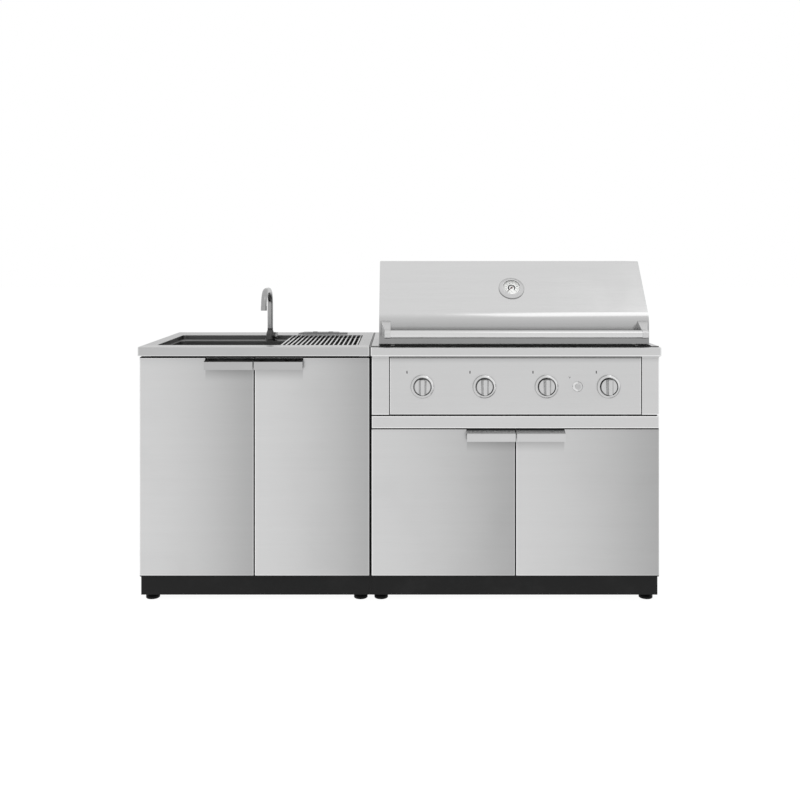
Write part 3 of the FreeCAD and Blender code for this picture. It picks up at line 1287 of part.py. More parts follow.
def gauge_piece(profile):
    """A turned piece of the gauge, square to the lid's slope."""
    return revolved(profile, GAUGE_BASE.x, GAUGE_BASE.y, GAUGE_BASE.z, GAUGE_AXIS)


def gauge_case():
    """Flanged case with its probe; the floor of the recess is the dial."""
    d, h, r = GAUGE_DIAL, GAUGE_HEIGHT, GAUGE_RADIUS
    return gauge_piece([
        (0, -45), (4.5, -45), (4.5, 0), (r, 0), (r, 2.5), (d + 5, h), (d + 1.5, h), (d + 1.5, h - 2.3),
        (d, h - 2.3), (d, 4), (1.25, 4), (1.25, 1), (0, 1),
    ])


def gauge_lens():
    """Flat glass on the case's step."""
    r = GAUGE_DIAL + 1.5 - RUNNING_GAP
    low = GAUGE_HEIGHT - 2.3
    return gauge_piece([(0, low), (r, low), (r, low + 1.5), (0, low + 1.5)])


def gauge_needle():
    """Needle on its arbor, pointing at the low end of the scale."""
    low = 5.0
    hub = Part.makeCylinder(3.2, 0.8, Vector(0, 0, low))
    arbor = Part.makeCylinder(1.25 - RUNNING_GAP, low - 1.5, Vector(0, 0, 1.5))
    reach = GAUGE_DIAL - 5
    blade = prism([(-1.3, 0), (1.3, 0), (0.4, reach), (-0.4, reach)], "z", low, low + 0.8)
    tail = prism([(-1.5, -8), (1.5, -8), (1.3, 0), (-1.3, 0)], "z", low, low + 0.8)
    needle = fuse(hub, arbor, blade, tail)
    needle.rotate(Vector(), Z, 135)
    needle.Placement = Placement(GAUGE_BASE, Rotation(Z, GAUGE_AXIS)).multiply(needle.Placement)
    return needle


def lid_bumper(x):
    """Soft pad that the lid's front hem rests on."""
    y = LID_FRONT + 3
    return rounded_plate(x - 6, x + 6, y - 4, y + 4, FLANGE_TOP, LID_BOTTOM - SEAT_GAP, 2)


def lid():
    """Lid with its liner, handle, gauge and bumpers."""
    save("lid_shell", *lid_shell())
    save("lid_liner", lid_liner())
    bracket = handle_bracket()
    save("handle_brackets", bracket, mirrored(bracket, GRILL_MIDDLE))
    save("lid_handle", handle_tube())
    save("gauge_case", gauge_case())
    save("gauge_lens", gauge_lens())
    save("gauge_needle", gauge_needle())
    save("lid_bumpers", *[lid_bumper(x) for x in (LID_LEFT + BUMPER_INSET, LID_RIGHT - BUMPER_INSET)])


def main():
    os.makedirs("parts", exist_ok=True)
    cabinet_bodies()
    doors()
    counters()
    sink()
    grill_front()
    grill_body()
    lid()


main()
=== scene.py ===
# %% [markdown]
# # Outdoor kitchen island
#
# A sink cabinet and a gas grill cabinet stand side by side, both in brushed
# stainless steel. The solid parts come from the CAD frame, so their sizes are
# settled. This notebook gives every part its finish, adds the small pieces that
# a CAD model leaves plain, and lights the whole in a white studio.

import math

import bpy
from mathutils import Matrix, Vector


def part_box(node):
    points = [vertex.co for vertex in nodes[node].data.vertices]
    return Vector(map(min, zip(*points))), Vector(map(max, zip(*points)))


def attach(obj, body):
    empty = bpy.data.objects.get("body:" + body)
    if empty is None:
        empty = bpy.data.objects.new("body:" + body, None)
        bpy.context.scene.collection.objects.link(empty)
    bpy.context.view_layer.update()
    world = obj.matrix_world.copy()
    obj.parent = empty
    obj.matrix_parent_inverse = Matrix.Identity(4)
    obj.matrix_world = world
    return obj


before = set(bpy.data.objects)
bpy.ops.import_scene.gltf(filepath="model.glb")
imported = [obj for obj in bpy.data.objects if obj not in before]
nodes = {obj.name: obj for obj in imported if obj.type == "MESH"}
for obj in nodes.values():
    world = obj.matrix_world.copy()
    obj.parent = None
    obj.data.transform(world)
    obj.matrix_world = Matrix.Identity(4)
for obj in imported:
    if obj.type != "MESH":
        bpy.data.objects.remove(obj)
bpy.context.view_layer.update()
print("parts from the frame:", len(nodes))


# %% [markdown]
# ## Camera
#
# The product picture was taken almost level, from a little above the lid. A
# level camera keeps upright edges upright. Shifting the lens down, rather than
# tilting the camera, brings the feet into view.

# %% Camera
camera = bpy.data.objects.new("studio_camera", bpy.data.cameras.new("studio_camera"))
bpy.context.collection.objects.link(camera)
camera.location = (0.0015, -3.5565, 1.236)
camera.rotation_euler = (math.radians(90), 0, 0)
camera.data.sensor_fit = "HORIZONTAL"
camera.data.sensor_width = 36
camera.data.lens = 41.76
camera.data.shift_y = -0.183
bpy.context.scene.camera = camera
print("camera at", tuple(round(v, 3) for v in camera.location), "lens", camera.data.lens)

# %% [markdown]
# ## Shader nodes in few words
#
# Light and finishes are built from shader nodes. These helpers make one node
# each, feed its inputs with numbers or with the results of other nodes, and hand
# its own result on. An input is fed by its order, or by its name with a low line
# for each blank.

# %% Helpers for nodes


def feed(net, socket, value):
    """Link a socket to a result, or give it a fixed value."""
    if isinstance(value, bpy.types.NodeSocket):
        net.links.new(value, socket)
    else:
        socket.default_value = value


def put_node(net, kind, *values, operation=None, **named):
    node = net.nodes.new("ShaderNode" + kind)
    if operation:
        node.operation = operation
    for socket, value in zip(node.inputs, values):
        feed(net, socket, value)
    for label, value in named.items():
        feed(net, node.inputs[label.replace("_", " ")], value)
    return node


def maths(net, operation, *values):
    return put_node(net, "Math", *values, operation=operation).outputs[0]


def vectors(net, operation, *values):
    """The vector that a vector operation gives, or its number if it gives one."""
    number = operation in ("DOT_PRODUCT", "DISTANCE", "LENGTH")
    return put_node(net, "VectorMath", *values, operation=operation).outputs["Value" if number else "Vector"]


def spread(net, value, start, end, first=0.0, last=1.0, soft=True):
    """A number between start and end, moved between first and last and held there."""
    node = put_node(net, "MapRange", Value=value, From_Min=start, From_Max=end, To_Min=first, To_Max=last)
    if soft:
        node.interpolation_type = "SMOOTHSTEP"
    return node.outputs["Result"]


def ranged(net, mask, low, high):
    """A mask from 0 to 1 as a number between two others."""
    return spread(net, mask, 0.0, 1.0, low, high, soft=False)


print("node helpers ready")

# %% [markdown]
# ## A white studio
#
# Stainless steel is a mirror for its room: in a black room it would look black.
# So the world is white for the eye, in reflections and through glass, and softer
# for the light that falls on dull surfaces. The Light Path node tells these rays
# apart.

# %% World
world = bpy.data.worlds.new("white_studio")
bpy.context.scene.world = world
world.use_nodes = True
net = world.node_tree
net.nodes.clear()
rays = put_node(net, "LightPath").outputs
seen = maths(net, "MAXIMUM", rays["Is Camera Ray"], rays["Is Glossy Ray"])
seen = maths(net, "MAXIMUM", seen, rays["Is Transmission Ray"])
soft_sky = put_node(net, "Background", Color=(0.96, 0.98, 1, 1), Strength=0.55)
white_sky = put_node(net, "Background", Color=(1, 1, 1, 1), Strength=1.0)
sky = put_node(net, "MixShader", seen, soft_sky.outputs[0], white_sky.outputs[0])
put_node(net, "OutputWorld", Surface=sky.outputs[0])
bpy.context.scene.view_settings.view_transform = "Standard"
print("world ready")

# %% [markdown]
# The floor is a wide pale sheet. It is partly its own light, so that it fades
# into the white background, and partly an ordinary dull surface, so that the
# feet and the kick plates still leave a soft shadow on it.

# %% Floor
GLOW_SHARE = 0.86
bpy.ops.object.select_all(action="DESELECT")
bpy.ops.mesh.primitive_plane_add(size=60, location=(0, 0, 0))
floor = bpy.context.object
floor.name = "studio_floor"
floor_paint = bpy.data.materials.new("studio_floor")
floor_paint.use_nodes = True
net = floor_paint.node_tree
net.nodes.clear()
rays = put_node(net, "LightPath").outputs
seen = maths(net, "MAXIMUM", rays["Is Camera Ray"], rays["Is Glossy Ray"])
share = maths(net, "MULTIPLY", seen, GLOW_SHARE)
dull = put_node(net, "BsdfDiffuse", Color=(0.86, 0.86, 0.86, 1))
glow = put_node(net, "Emission", Color=(1, 1, 1, 1), Strength=1.1)
paint = put_node(net, "MixShader", share, dull.outputs[0], glow.outputs[0])
put_node(net, "OutputMaterial", Surface=paint.outputs[0])
floor.data.materials.append(floor_paint)
print("floor", floor.name)

# %% [markdown]
# Three large soft lamps do the rest: one above the front left, one to the
# right, and one overhead. Large lamps give wide, faint highlights, as the big
# diffusers of a product studio do.

# %% Lamps


def soft_lamp(name, place, aim, size, watts):
    lamp = bpy.data.objects.new(name, bpy.data.lights.new(name, "AREA"))
    lamp.data.shape = "RECTANGLE"
    lamp.data.size, lamp.data.size_y = size
    lamp.data.energy = watts
    lamp.location = place
    lamp.rotation_euler = (Vector(aim) - Vector(place)).to_track_quat("-Z", "Y").to_euler()
    bpy.context.collection.objects.link(lamp)
    return lamp


lamps = [
    soft_lamp("left_lamp", (-2.6, -3.2, 2.6), (-0.2, 0, 0.6), (1.8, 1.8), 62),
    soft_lamp("right_lamp", (1.45, -1.87, 3.65), (0.3, 0, 0.8), (2.0, 1.1), 4.2),
    soft_lamp("top_lamp", (0.2, -0.6, 3.4), (0.1, 0, 0.8), (2.6, 1.6), 46),
]
for lamp in (lamps[0], lamps[2]):
    lamp.visible_glossy = False
print("lamps:", [lamp.name for lamp in lamps])

# %% [markdown]
# ## Shared effects
#
# Brushed steel is the same story on every part: fine lines that run one way,
# broad faint bands beside them, and a few cloudy patches where hands and
# cloths have been. Each effect is built once as a node group, and every
# material then places it with its own values.

# %% A helper for node groups
FLOAT, VECTOR, COLOUR = "NodeSocketFloat", "NodeSocketVector", "NodeSocketColor"
PLACE = ("Place", VECTOR, (0, 0, 0))


def new_group(name, inputs, outputs):
    """An empty group, what comes into it and what leaves it."""
    group = bpy.data.node_groups.new(name, "ShaderNodeTree")
    for label, kind, value in inputs:
        socket = group.interface.new_socket(name=label, in_out="INPUT", socket_type=kind)
        socket.default_value = value
    for label, kind in outputs:
        group.interface.new_socket(name=label, in_out="OUTPUT", socket_type=kind)
    return group, group.nodes.new("NodeGroupInput").outputs, group.nodes.new("NodeGroupOutput").inputs


print("group helper ready")

# %% [markdown]
# The grain is noise that is stretched along the brushing. Stretch multiplies
# the place by a small number along the lines and a large one across them, so
# one group serves lines in any direction.

# %% Brushed grain group
grain_group, entry, leave = new_group(
    "brushed grain",
    [PLACE, ("Stretch", VECTOR, (10, 700, 700)), ("Bands", VECTOR, (1, 45, 45))],
    [("Lines", FLOAT), ("Broad", FLOAT)],
)
for stretch, label in (("Stretch", "Lines"), ("Bands", "Broad")):
    scaled = vectors(grain_group, "MULTIPLY", entry["Place"], entry[stretch])
    streaks = put_node(grain_group, "TexNoise", Vector=scaled, Scale=1.0, Detail=3.0, Roughness=0.65)
    feed(grain_group, leave[label], streaks.outputs["Fac"])
print("group", grain_group.name)

# %% [markdown]
# Smudges are soft clouds. Their contrast is raised so that most of the surface
# stays clean and only some patches are duller.

# %% Smudge group
CLEAN, SMUDGED = 0.48, 0.72
smudge_group, entry, leave = new_group("smudges", [PLACE, ("Size", FLOAT, 4.0)], [("Mask", FLOAT)])
clouds = put_node(smudge_group, "TexNoise", Vector=entry["Place"], Scale=entry["Size"], Detail=4.0,
                  Roughness=0.55)
feed(smudge_group, leave["Mask"], spread(smudge_group, clouds.outputs["Fac"], CLEAN, SMUDGED))
print("group", smudge_group.name)

# %% [markdown]
# Every door gets the same painted sheen, a slow change of tone from left to
# right. The front of the lid folds down below its slope and turns away from the
# sky, and a painted shade makes it darker towards its hem. Both come from one
# kind of group: it turns the place along one axis of a part into a number from
# 0 to 1 and reads the tone at that place from a colour ramp.

# %% Tone groups


def grey(level):
    """A display level from 0 to 255 as the linear value that a shader needs."""
    share = level / 255
    return share / 12.92 if share <= 0.04045 else ((share + 0.055) / 1.055) ** 2.4


def ramp_group(name, axis, tones, kind):
    group, entry, leave = new_group(
        name, [PLACE, ("Start", FLOAT, 0.0), ("End", FLOAT, 1.0)], [("Tone", COLOUR)]
    )
    split = put_node(group, "SeparateXYZ", entry["Place"])
    along = spread(group, split.outputs[axis], entry["Start"], entry["End"], soft=False)
    ramp = put_node(group, "ValToRGB", along)
    stops = ramp.color_ramp.elements
    ramp.color_ramp.interpolation = kind
    for i, (place, tone) in enumerate(tones):
        stop = stops[i] if i < 2 else stops.new(place)
        stop.position = place
        stop.color = (tone, tone, tone, 1)
    feed(group, leave["Tone"], ramp.outputs["Color"])
    print("group", name, "with", len(tones), "tones")
    return group


# Painted sheen: each door's tone falls from left to right.
SHEEN_LEVELS = ((0.0, 208), (0.25, 204), (0.5, 197), (0.75, 186), (1.0, 170))
SHEEN_TONES = [(place, grey(level) / grey(SHEEN_LEVELS[0][1])) for place, level in SHEEN_LEVELS]
# Painted shade on the lid's front, darkest at its hem.
LID_SHADE_TONES = ((0.0, 0.45), (0.16, 0.61), (0.3, 0.62), (0.41, 0.66), (0.53, 0.72), (0.74, 0.805),
             (0.88, 0.92), (1.0, 1.0))
sheen_across_group = ramp_group("painted sheen across a door", "X", SHEEN_TONES, "B_SPLINE")
lid_shade_group = ramp_group("painted shade down the lid", "Z", LID_SHADE_TONES, "LINEAR")

# %% [markdown]
# Some tones change along one direction only, such as from the front of a part
# to its rear. This group measures how far a place lies along an axis. It gives
# 0 before the start, 1 past the end and a soft step between them.

# %% Fade along an axis group
fade_group, entry, leave = new_group(
    "fade along an axis",
    [PLACE, ("Axis", VECTOR, (0, 0, 1)), ("Start", FLOAT, 0.0), ("End", FLOAT, 1.0)],
    [("Mask", FLOAT)],
)
reach = vectors(fade_group, "DOT_PRODUCT", entry["Place"], entry["Axis"])
feed(fade_group, leave["Mask"], spread(fade_group, reach, entry["Start"], entry["End"]))
print("group", fade_group.name)

# %% [markdown]
# Folded edges get a painted highlight, brighter than the sheet between them.
# This group measures how far a place lies from the nearest edge of an upright
# panel and turns that into a narrow line, which is nothing outside the panel.

# %% Painted edge highlight group
LINE_END, LINE_START, OUTSIDE = 0.0042, 0.0018, -0.0003
edge_highlight_group, entry, leave = new_group(
    "painted edge highlight", [PLACE, ("Low", VECTOR, (0, 0, 0)), ("High", VECTOR, (1, 1, 1))], [("Mask", FLOAT)]
)
from_low = vectors(edge_highlight_group, "SUBTRACT", entry["Place"], entry["Low"])
from_high = vectors(edge_highlight_group, "SUBTRACT", entry["High"], entry["Place"])
split = put_node(edge_highlight_group, "SeparateXYZ", vectors(edge_highlight_group, "MINIMUM", from_low, from_high))
nearest = maths(edge_highlight_group, "MINIMUM", split.outputs["X"], split.outputs["Z"])
line = spread(edge_highlight_group, nearest, LINE_END, LINE_START)
inside = maths(edge_highlight_group, "GREATER_THAN", nearest, OUTSIDE)
feed(edge_highlight_group, leave["Mask"], maths(edge_highlight_group, "MULTIPLY", line, inside))
print("group", edge_highlight_group.name)

# %% [markdown]
# Round each knob the polished metal meets the panel in a deep groove. The next
# group gives the way from the nearest knob's axis to a place, and its length.
# The knobs stand at even steps, so one remainder serves all four.

# %% Distance from a knob axis group
FIRST_KNOB, KNOB_STEP, KNOB_Z = 0.08075, 0.2193, 0.7662
axis_group, entry, leave = new_group(
    "distance from a knob axis", [PLACE], [("Radius", FLOAT), ("Offset", VECTOR)]
)
split = put_node(axis_group, "SeparateXYZ", entry["Place"])
shift = maths(axis_group, "SUBTRACT", split.outputs["X"], FIRST_KNOB - KNOB_STEP / 2)
turn = maths(axis_group, "MODULO", shift, KNOB_STEP)
side = maths(axis_group, "SUBTRACT", turn, KNOB_STEP / 2)
rise = maths(axis_group, "SUBTRACT", split.outputs["Z"], KNOB_Z)
offset = put_node(axis_group, "CombineXYZ", X=side, Z=rise).outputs[0]
feed(axis_group, leave["Radius"], vectors(axis_group, "LENGTH", offset))
feed(axis_group, leave["Offset"], offset)
print("group", axis_group.name)

# %% [markdown]
# ## Finishes
#
# A finish starts from one Principled shader. These helpers make the material,
# its shader and its place on the object, which all effects read, and tie the
# colour, the roughness and a shallow relief to the shader at the end.

# %% Helpers for finishes
dressed = set()
UP, DOWN = (0, 0, 1), (0, 0, -1)
LEFT, RIGHT = (-1, 0, 0), (1, 0, 0)
FRONT, REAR = (0, -1, 0), (0, 1, 0)


def start_finish(name, colour, metallic, roughness):
    finish = bpy.data.materials.new(name)
    finish.use_nodes = True
    net = finish.node_tree
    shader = net.nodes["Principled BSDF"]
    shader.inputs["Base Color"].default_value = (*colour, 1)
    shader.inputs["Metallic"].default_value = metallic
    shader.inputs["Roughness"].default_value = roughness
    place = net.nodes.new("ShaderNodeTexCoord").outputs["Object"]
    return finish, net, shader, place


def end_finish(net, shader, colour, roughness, relief, depth):
    feed(net, shader.inputs["Base Color"], colour)
    feed(net, shader.inputs["Roughness"], roughness)
    bump = put_node(net, "Bump", Strength=1.0, Distance=depth, Height=relief)
    feed(net, shader.inputs["Normal"], bump.outputs[0])


def put_group(net, group, place, **values):
    """What a shared group gives for a place."""
    node = net.nodes.new("ShaderNodeGroup")
    node.node_tree = group
    feed(net, node.inputs["Place"], place)
    for label, value in values.items():
        feed(net, node.inputs[label], value)
    return node.outputs


def fade(net, place, axis, start, end):
    return put_group(net, fade_group, place, Axis=axis, Start=start, End=end)["Mask"]


def mixed(net, factor, first, second, kind="MIX"):
    """A mix of two colours; each is a colour or a result."""
    mix = net.nodes.new("ShaderNodeMix")
    mix.data_type = "RGBA"
    mix.blend_type = kind
    for number, value in ((0, factor), (6, first), (7, second)):
        feed(net, mix.inputs[number], (*value, 1) if isinstance(value, tuple) else value)
    return mix.outputs[2]


def shaded(net, colour, factor):
    """A colour dimmed by a number below 1, or brightened by one above."""
    veil = put_node(net, "CombineColor", factor, factor, factor)
    return mixed(net, 1.0, colour, veil.outputs[0], "MULTIPLY")


def wear(names, finish):
    """Give a finish to parts that come from the frame."""
    for name in names.split():
        part = nodes[name]
        part.data.materials.clear()
        part.data.materials.append(finish)
        dressed.add(name)


print("finish helpers ready")

# %% [markdown]
# Brushed stainless is a metal with a grey base. Its lines change the tone and
# the roughness a little and press a very shallow relief into the surface. A
# plain painted grey would miss the way that the lines catch a lamp.
#
# The finish can also paint light and shade into its tone, each given as a list or
# a setting: ramps of painted sheen and shade, painted highlights along rims, fades
# along an axis that paint shade and light, a painted shadow under a pull, a
# painted shade round each knob, and a matt end where the metal mirrors nothing.

# %% Brushed steel
ALONG_X = {"Stretch": (9, 800, 800), "Bands": (0.8, 40, 40)}
ALONG_Y = {"Stretch": (800, 9, 800), "Bands": (40, 0.8, 40)}
ALONG_Z = {"Stretch": (800, 800, 9), "Bands": (40, 40, 0.8)}
LINE_TONE, BAND_TONE, LINE_ROUGH, SMUDGE_ROUGH = 0.05, 0.025, 0.05, 0.07
EDGE_HIGHLIGHT_GAIN, SMUDGE_SIZE, LINE_DEPTH = 1.34, 5.0, 0.00002
SHADE_OUT, SHADE_IN = 0.001, 0.003


def brushed(name, level, roughness, grain, ramps=(), highlight_rims=(), fades=(), shade=None, halo_shade=None,
            matt=None, tint=0.8):
    """Brushed steel, and what changes its tone:

    ramps: tone group, start and end, for painted sheen and shade;
    highlight_rims: low and high corner of a painted edge highlight;
    fades: axis, start, end and last tone, painting shade and light; matt: axis, start and end;
    shade: left, right, top, drop and tone of a painted shadow under a pull;
    halo_shade: start, end and first tone of a painted shade round each knob.
    """
    tone = grey(level)
    finish, net, shader, place = start_finish(name, (tone, tone, tone), 1.0, roughness)
    shader.inputs["Specular Tint"].default_value = (tint, tint, tint, 1)
    noise = put_group(net, grain_group, place, **grain)
    smudges = put_group(net, smudge_group, place, Size=SMUDGE_SIZE)["Mask"]
    colour = mixed(net, noise["Lines"], (tone * (1 - LINE_TONE),) * 3, (tone * (1 + LINE_TONE),) * 3)
    colour = shaded(net, colour, ranged(net, noise["Broad"], 1 - BAND_TONE, 1 + BAND_TONE))
    for group, start, end in ramps:
        ramp = put_group(net, group, place, Start=start, End=end)
        colour = mixed(net, 1.0, colour, ramp["Tone"], "MULTIPLY")
    # Painted highlight along each rim.
    for low, high in highlight_rims:
        rim = put_group(net, edge_highlight_group, place, Low=tuple(low), High=tuple(high))
        colour = shaded(net, colour, ranged(net, rim["Mask"], 1.0, EDGE_HIGHLIGHT_GAIN))
    for axis, start, end, last in fades:
        colour = shaded(net, colour, ranged(net, fade(net, place, axis, start, end), 1.0, last))
    # Painted shadow under a pull.
    if shade:
        left, right, top, drop, last = shade
        mask = maths(net, "MULTIPLY", fade(net, place, RIGHT, left - SHADE_OUT, left + SHADE_IN),
                     fade(net, place, LEFT, -right - SHADE_OUT, SHADE_IN - right))
        mask = maths(net, "MULTIPLY", mask, fade(net, place, UP, top - drop, top))
        colour = shaded(net, colour, ranged(net, mask, 1.0, last))
    # Painted shade round each knob on the panel.
    if halo_shade:
        start, end, first = halo_shade
        radius = put_group(net, axis_group, place)["Radius"]
        colour = shaded(net, colour, spread(net, radius, start, end, first, 1.0))
    if matt:
        feed(net, shader.inputs["Metallic"], ranged(net, fade(net, place, *matt), 1.0, 0.0))
    rough = ranged(net, noise["Lines"], roughness - LINE_ROUGH, roughness + LINE_ROUGH)
    rough = maths(net, "ADD", rough, ranged(net, smudges, 0.0, SMUDGE_ROUGH))
    end_finish(net, shader, colour, rough, noise["Lines"], LINE_DEPTH)
    return finish


print("brushed steel ready")

# %% [markdown]
# The painted highlight along the rims of the counters and of the panel runs along
# three edges only, so the box that marks them is drawn far above the part. Sheets
# under an overhang get a painted shade at the top, and a thin painted dark line of
# shade at the foot.

# %% Counters


def open_top(name):
    """The low and high corner of a part, with its upper edge out of the way."""
    low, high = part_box(name)
    return low.copy(), high + Vector((0, 0, 1))


# Painted shade under an overhang, a given depth below a part's top.
def below_top(high, *shades):
    """Fades that start and end so far below the top of a part."""
    return [(UP, high.z - start, high.z - end, last) for start, end, last in shades]


# A thin painted dark line of shade at the foot of a part.
def painted_foot_line(low, start, last):
    return [(DOWN, -low.z - start, -low.z - 0.001, last)]


# Painted light: the sink counter's top is lighter than its front face, and the strip in front of the bowl
# lighter still.
wear("sink_countertop",
     brushed("sink counter steel", 177, 0.3, ALONG_X, highlight_rims=[open_top("sink_countertop")],
             fades=[(UP, 0.9066, 0.9077, 1.36), (FRONT, 0.222, 0.236, 1.14)], tint=0.72))
wear("grill_countertop", brushed("grill counter steel", 202, 0.3, ALONG_X))
wear("grill_front_trim",
     brushed("front trim steel", 204, 0.3, ALONG_X, highlight_rims=[open_top("grill_front_trim")]))
print("counters dressed")

# %% Doors, one painted sheen ramp for each
SINK_SHADES, SINK_LEVEL = ((0.008, 0.001, 0.9), (0.034, 0.004, 0.95)), 210
GRILL_SHADES, GRILL_LEVEL = ((0.008, 0.001, 0.86), (0.0014, 0.0004, 0.55)), 206
PULL_SHADE = (0.046, 0.76)
# Each door: painted sheen across it, painted shade under the overhang, a painted dark line at its foot, a
# painted shadow under its pull and a painted highlight along its edges.
for name in ("sink_left_door", "sink_right_door", "grill_left_door", "grill_right_door"):
    low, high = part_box(name)
    pull_low, pull_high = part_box(name.replace("door", "pull"))
    sink = name.startswith("sink")
    shades = below_top(high, *(SINK_SHADES if sink else GRILL_SHADES)) + painted_foot_line(low, 0.0017, 0.4)
    wear(name, brushed(name.replace("_", " ") + " steel", SINK_LEVEL if sink else GRILL_LEVEL, 0.34,
                       ALONG_X, ramps=[(sheen_across_group, low.x, high.x)], highlight_rims=[(low, high)],
                       fades=shades, shade=(pull_low.x, pull_high.x, pull_low.z, *PULL_SHADE)))
wear("sink_left_pull sink_right_pull", brushed("sink pull steel", 184, 0.3, ALONG_X))
# The grill pulls get a painted shade near their top edge, darkest in the gap above it.
wear("grill_left_pull grill_right_pull",
     brushed("grill pull steel", 202, 0.3, ALONG_X, matt=(UP, 0.6085, 0.61),
             fades=[(UP, 0.602, 0.6035, 0.84), (UP, 0.6092, 0.6104, 0.4)]))
print("doors dressed")

# %% Face of the grill cabinet
low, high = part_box("face_frame")
RAIL_BOTTOM, RAIL_TOP, STILE_FOOT = 0.6194, 0.6618, 0.6668
rail_box = (Vector((low.x, low.y, RAIL_BOTTOM)), Vector((high.x, high.y, RAIL_TOP)))
stile_box = (Vector((low.x, low.y, STILE_FOOT)), Vector((high.x, high.y, 1)))
# The tops of the stiles get a painted shade under the overhang.
wear("face_frame", brushed("face frame steel", 206, 0.32, ALONG_X, highlight_rims=[rail_box, stile_box],
                           fades=[(UP, 0.85, 0.864, 0.91)]))
low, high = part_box("control_panel")
# Painted shade under the overhang at the panel's top, a thin painted dark line at its foot, and a painted
# shade round each knob.
wear("control_panel",
     brushed("control panel steel", 204, 0.3, ALONG_X, highlight_rims=[open_top("control_panel")],
             fades=below_top(high, (0.02, 0.002, 0.83), (0.005, 0.001, 0.9))
             + painted_foot_line(low, 0.0018, 0.35), halo_shade=(0.034, 0.05, 0.92)))
print("grill face dressed")

# %% Lid
LID_HEM, LID_KNEE = 0.95, 1.022
CAST = {"Stretch": (300, 300, 300), "Bands": (20, 20, 20)}
# The lid's front gets a painted shade, darker towards its hem.
wear("lid_shell", brushed("lid steel", 209, 0.16, ALONG_X, ramps=[(lid_shade_group, LID_HEM, LID_KNEE)]))
wear("lid_liner", brushed("lid liner steel", 180, 0.42, ALONG_X))
wear("handle_brackets", brushed("cast bracket metal", 206, 0.34, CAST))
wear("lid_handle", brushed("handle tube steel", 212, 0.17, ALONG_X))
print("lid dressed")

# %% [markdown]
# Inside the cabinets the sheet is only satin finished. It is duller and a bit
# darker than the outside, and its grain is short. The bowl is much darker, a
# painted shade for its deep hollow. The rods of the drying rack get a painted
# shade towards the rear, where less of the room is mirrored in them.

# %% Bodies, bowl and racks
SATIN = {"Stretch": (60, 500, 500), "Bands": (4, 20, 20)}
wear("side_panels back_panels floor_panels sink_top_rails",
     brushed("body sheet", 186, 0.42, ALONG_Z))
wear("plinth_rails", brushed("plinth sheet", 150, 0.5, SATIN))
# The bowl's steel is much darker than the rest, a painted shade for its deep hollow.
wear("sink_basin", brushed("bowl steel with painted shade", 104, 0.36, SATIN))
wear("drain_body drain_basket", brushed("drain steel", 176, 0.26, SATIN))
# Painted shade: the rods darken towards the rear of the rack.
wear("drying_rack",
     brushed("drying rack rod", 228, 0.24, ALONG_Y, fades=[(REAR, 0.03, 0.068, 0.2)]))
print("bodies dressed")

# %% [markdown]
# The firebox and what hangs in it have been hot. Heat leaves stainless steel
# with straw and brown clouds and burnt-on grease makes it duller, so this
# finish mixes a warm tint in by the smudge mask.

# %% Heated steel
BURNT = (0.62, 0.5, 0.36)
HEAT_TONE, HEAT_ROUGH, HEAT_DEPTH = 0.12, 0.22, 0.00003


def heated(name, level, roughness, grain, size):
    tone = grey(level)
    finish, net, shader, place = start_finish(name, (tone, tone, tone), 1.0, roughness)
    lines = put_group(net, grain_group, place, **grain)["Lines"]
    clouds = put_group(net, smudge_group, place, Size=size)["Mask"]
    clean = mixed(net, lines, (tone * (1 - HEAT_TONE),) * 3, (tone * (1 + HEAT_TONE),) * 3)
    metal = mixed(net, clouds, clean, tuple(tone * part for part in BURNT))
    rough = ranged(net, clouds, roughness, roughness + HEAT_ROUGH)
    end_finish(net, shader, metal, rough, lines, HEAT_DEPTH)
    return finish


wear("firebox_walls firebox_hopper", heated("firebox sheet", 158, 0.42, SATIN, 6.0))
wear("burners flame_tamers", heated("burner steel", 140, 0.4, ALONG_Y, 9.0))
wear("cooking_grate_1 cooking_grate_2 cooking_grate_3", heated("grate rod", 168, 0.3, ALONG_Y, 12.0))
wear("warming_rack", heated("warming rack rod", 186, 0.26, ALONG_X, 9.0))
wear("grease_tray", heated("tray sheet", 150, 0.4, ALONG_X, 8.0))
print("grill body dressed")

# %% [markdown]
# Knobs, bezels, the tap and the thermometer are polished. Polish is a bright
# base with a low roughness, and only faint turning marks and fingerprints. Knobs
# and bezels get a painted shade where they meet in a groove, the bezels a painted
# highlight towards the upper right, and the thermometer's case a painted dark ring
# at its edge.

# %% Polished steel
GAUGE_MIDDLE = Vector((0.4097, -0.1567, 1.1079))
low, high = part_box("gauge_case")
CASE_EDGE = (high.x - low.x) / 2
GROOVE_SHADE, CASE_RIM_SHADE, GLEAM_HIGHLIGHT_SIDE = 0.16, 0.5, (0.7, 0, 0.714)
PRINT_SIZE, PRINT_ROUGH, TURNED_TONE, TURNED_DEPTH = 22.0, 0.12, 0.93, 0.000006
TURNED = {"Stretch": (500, 500, 500), "Bands": (60, 60, 60)}


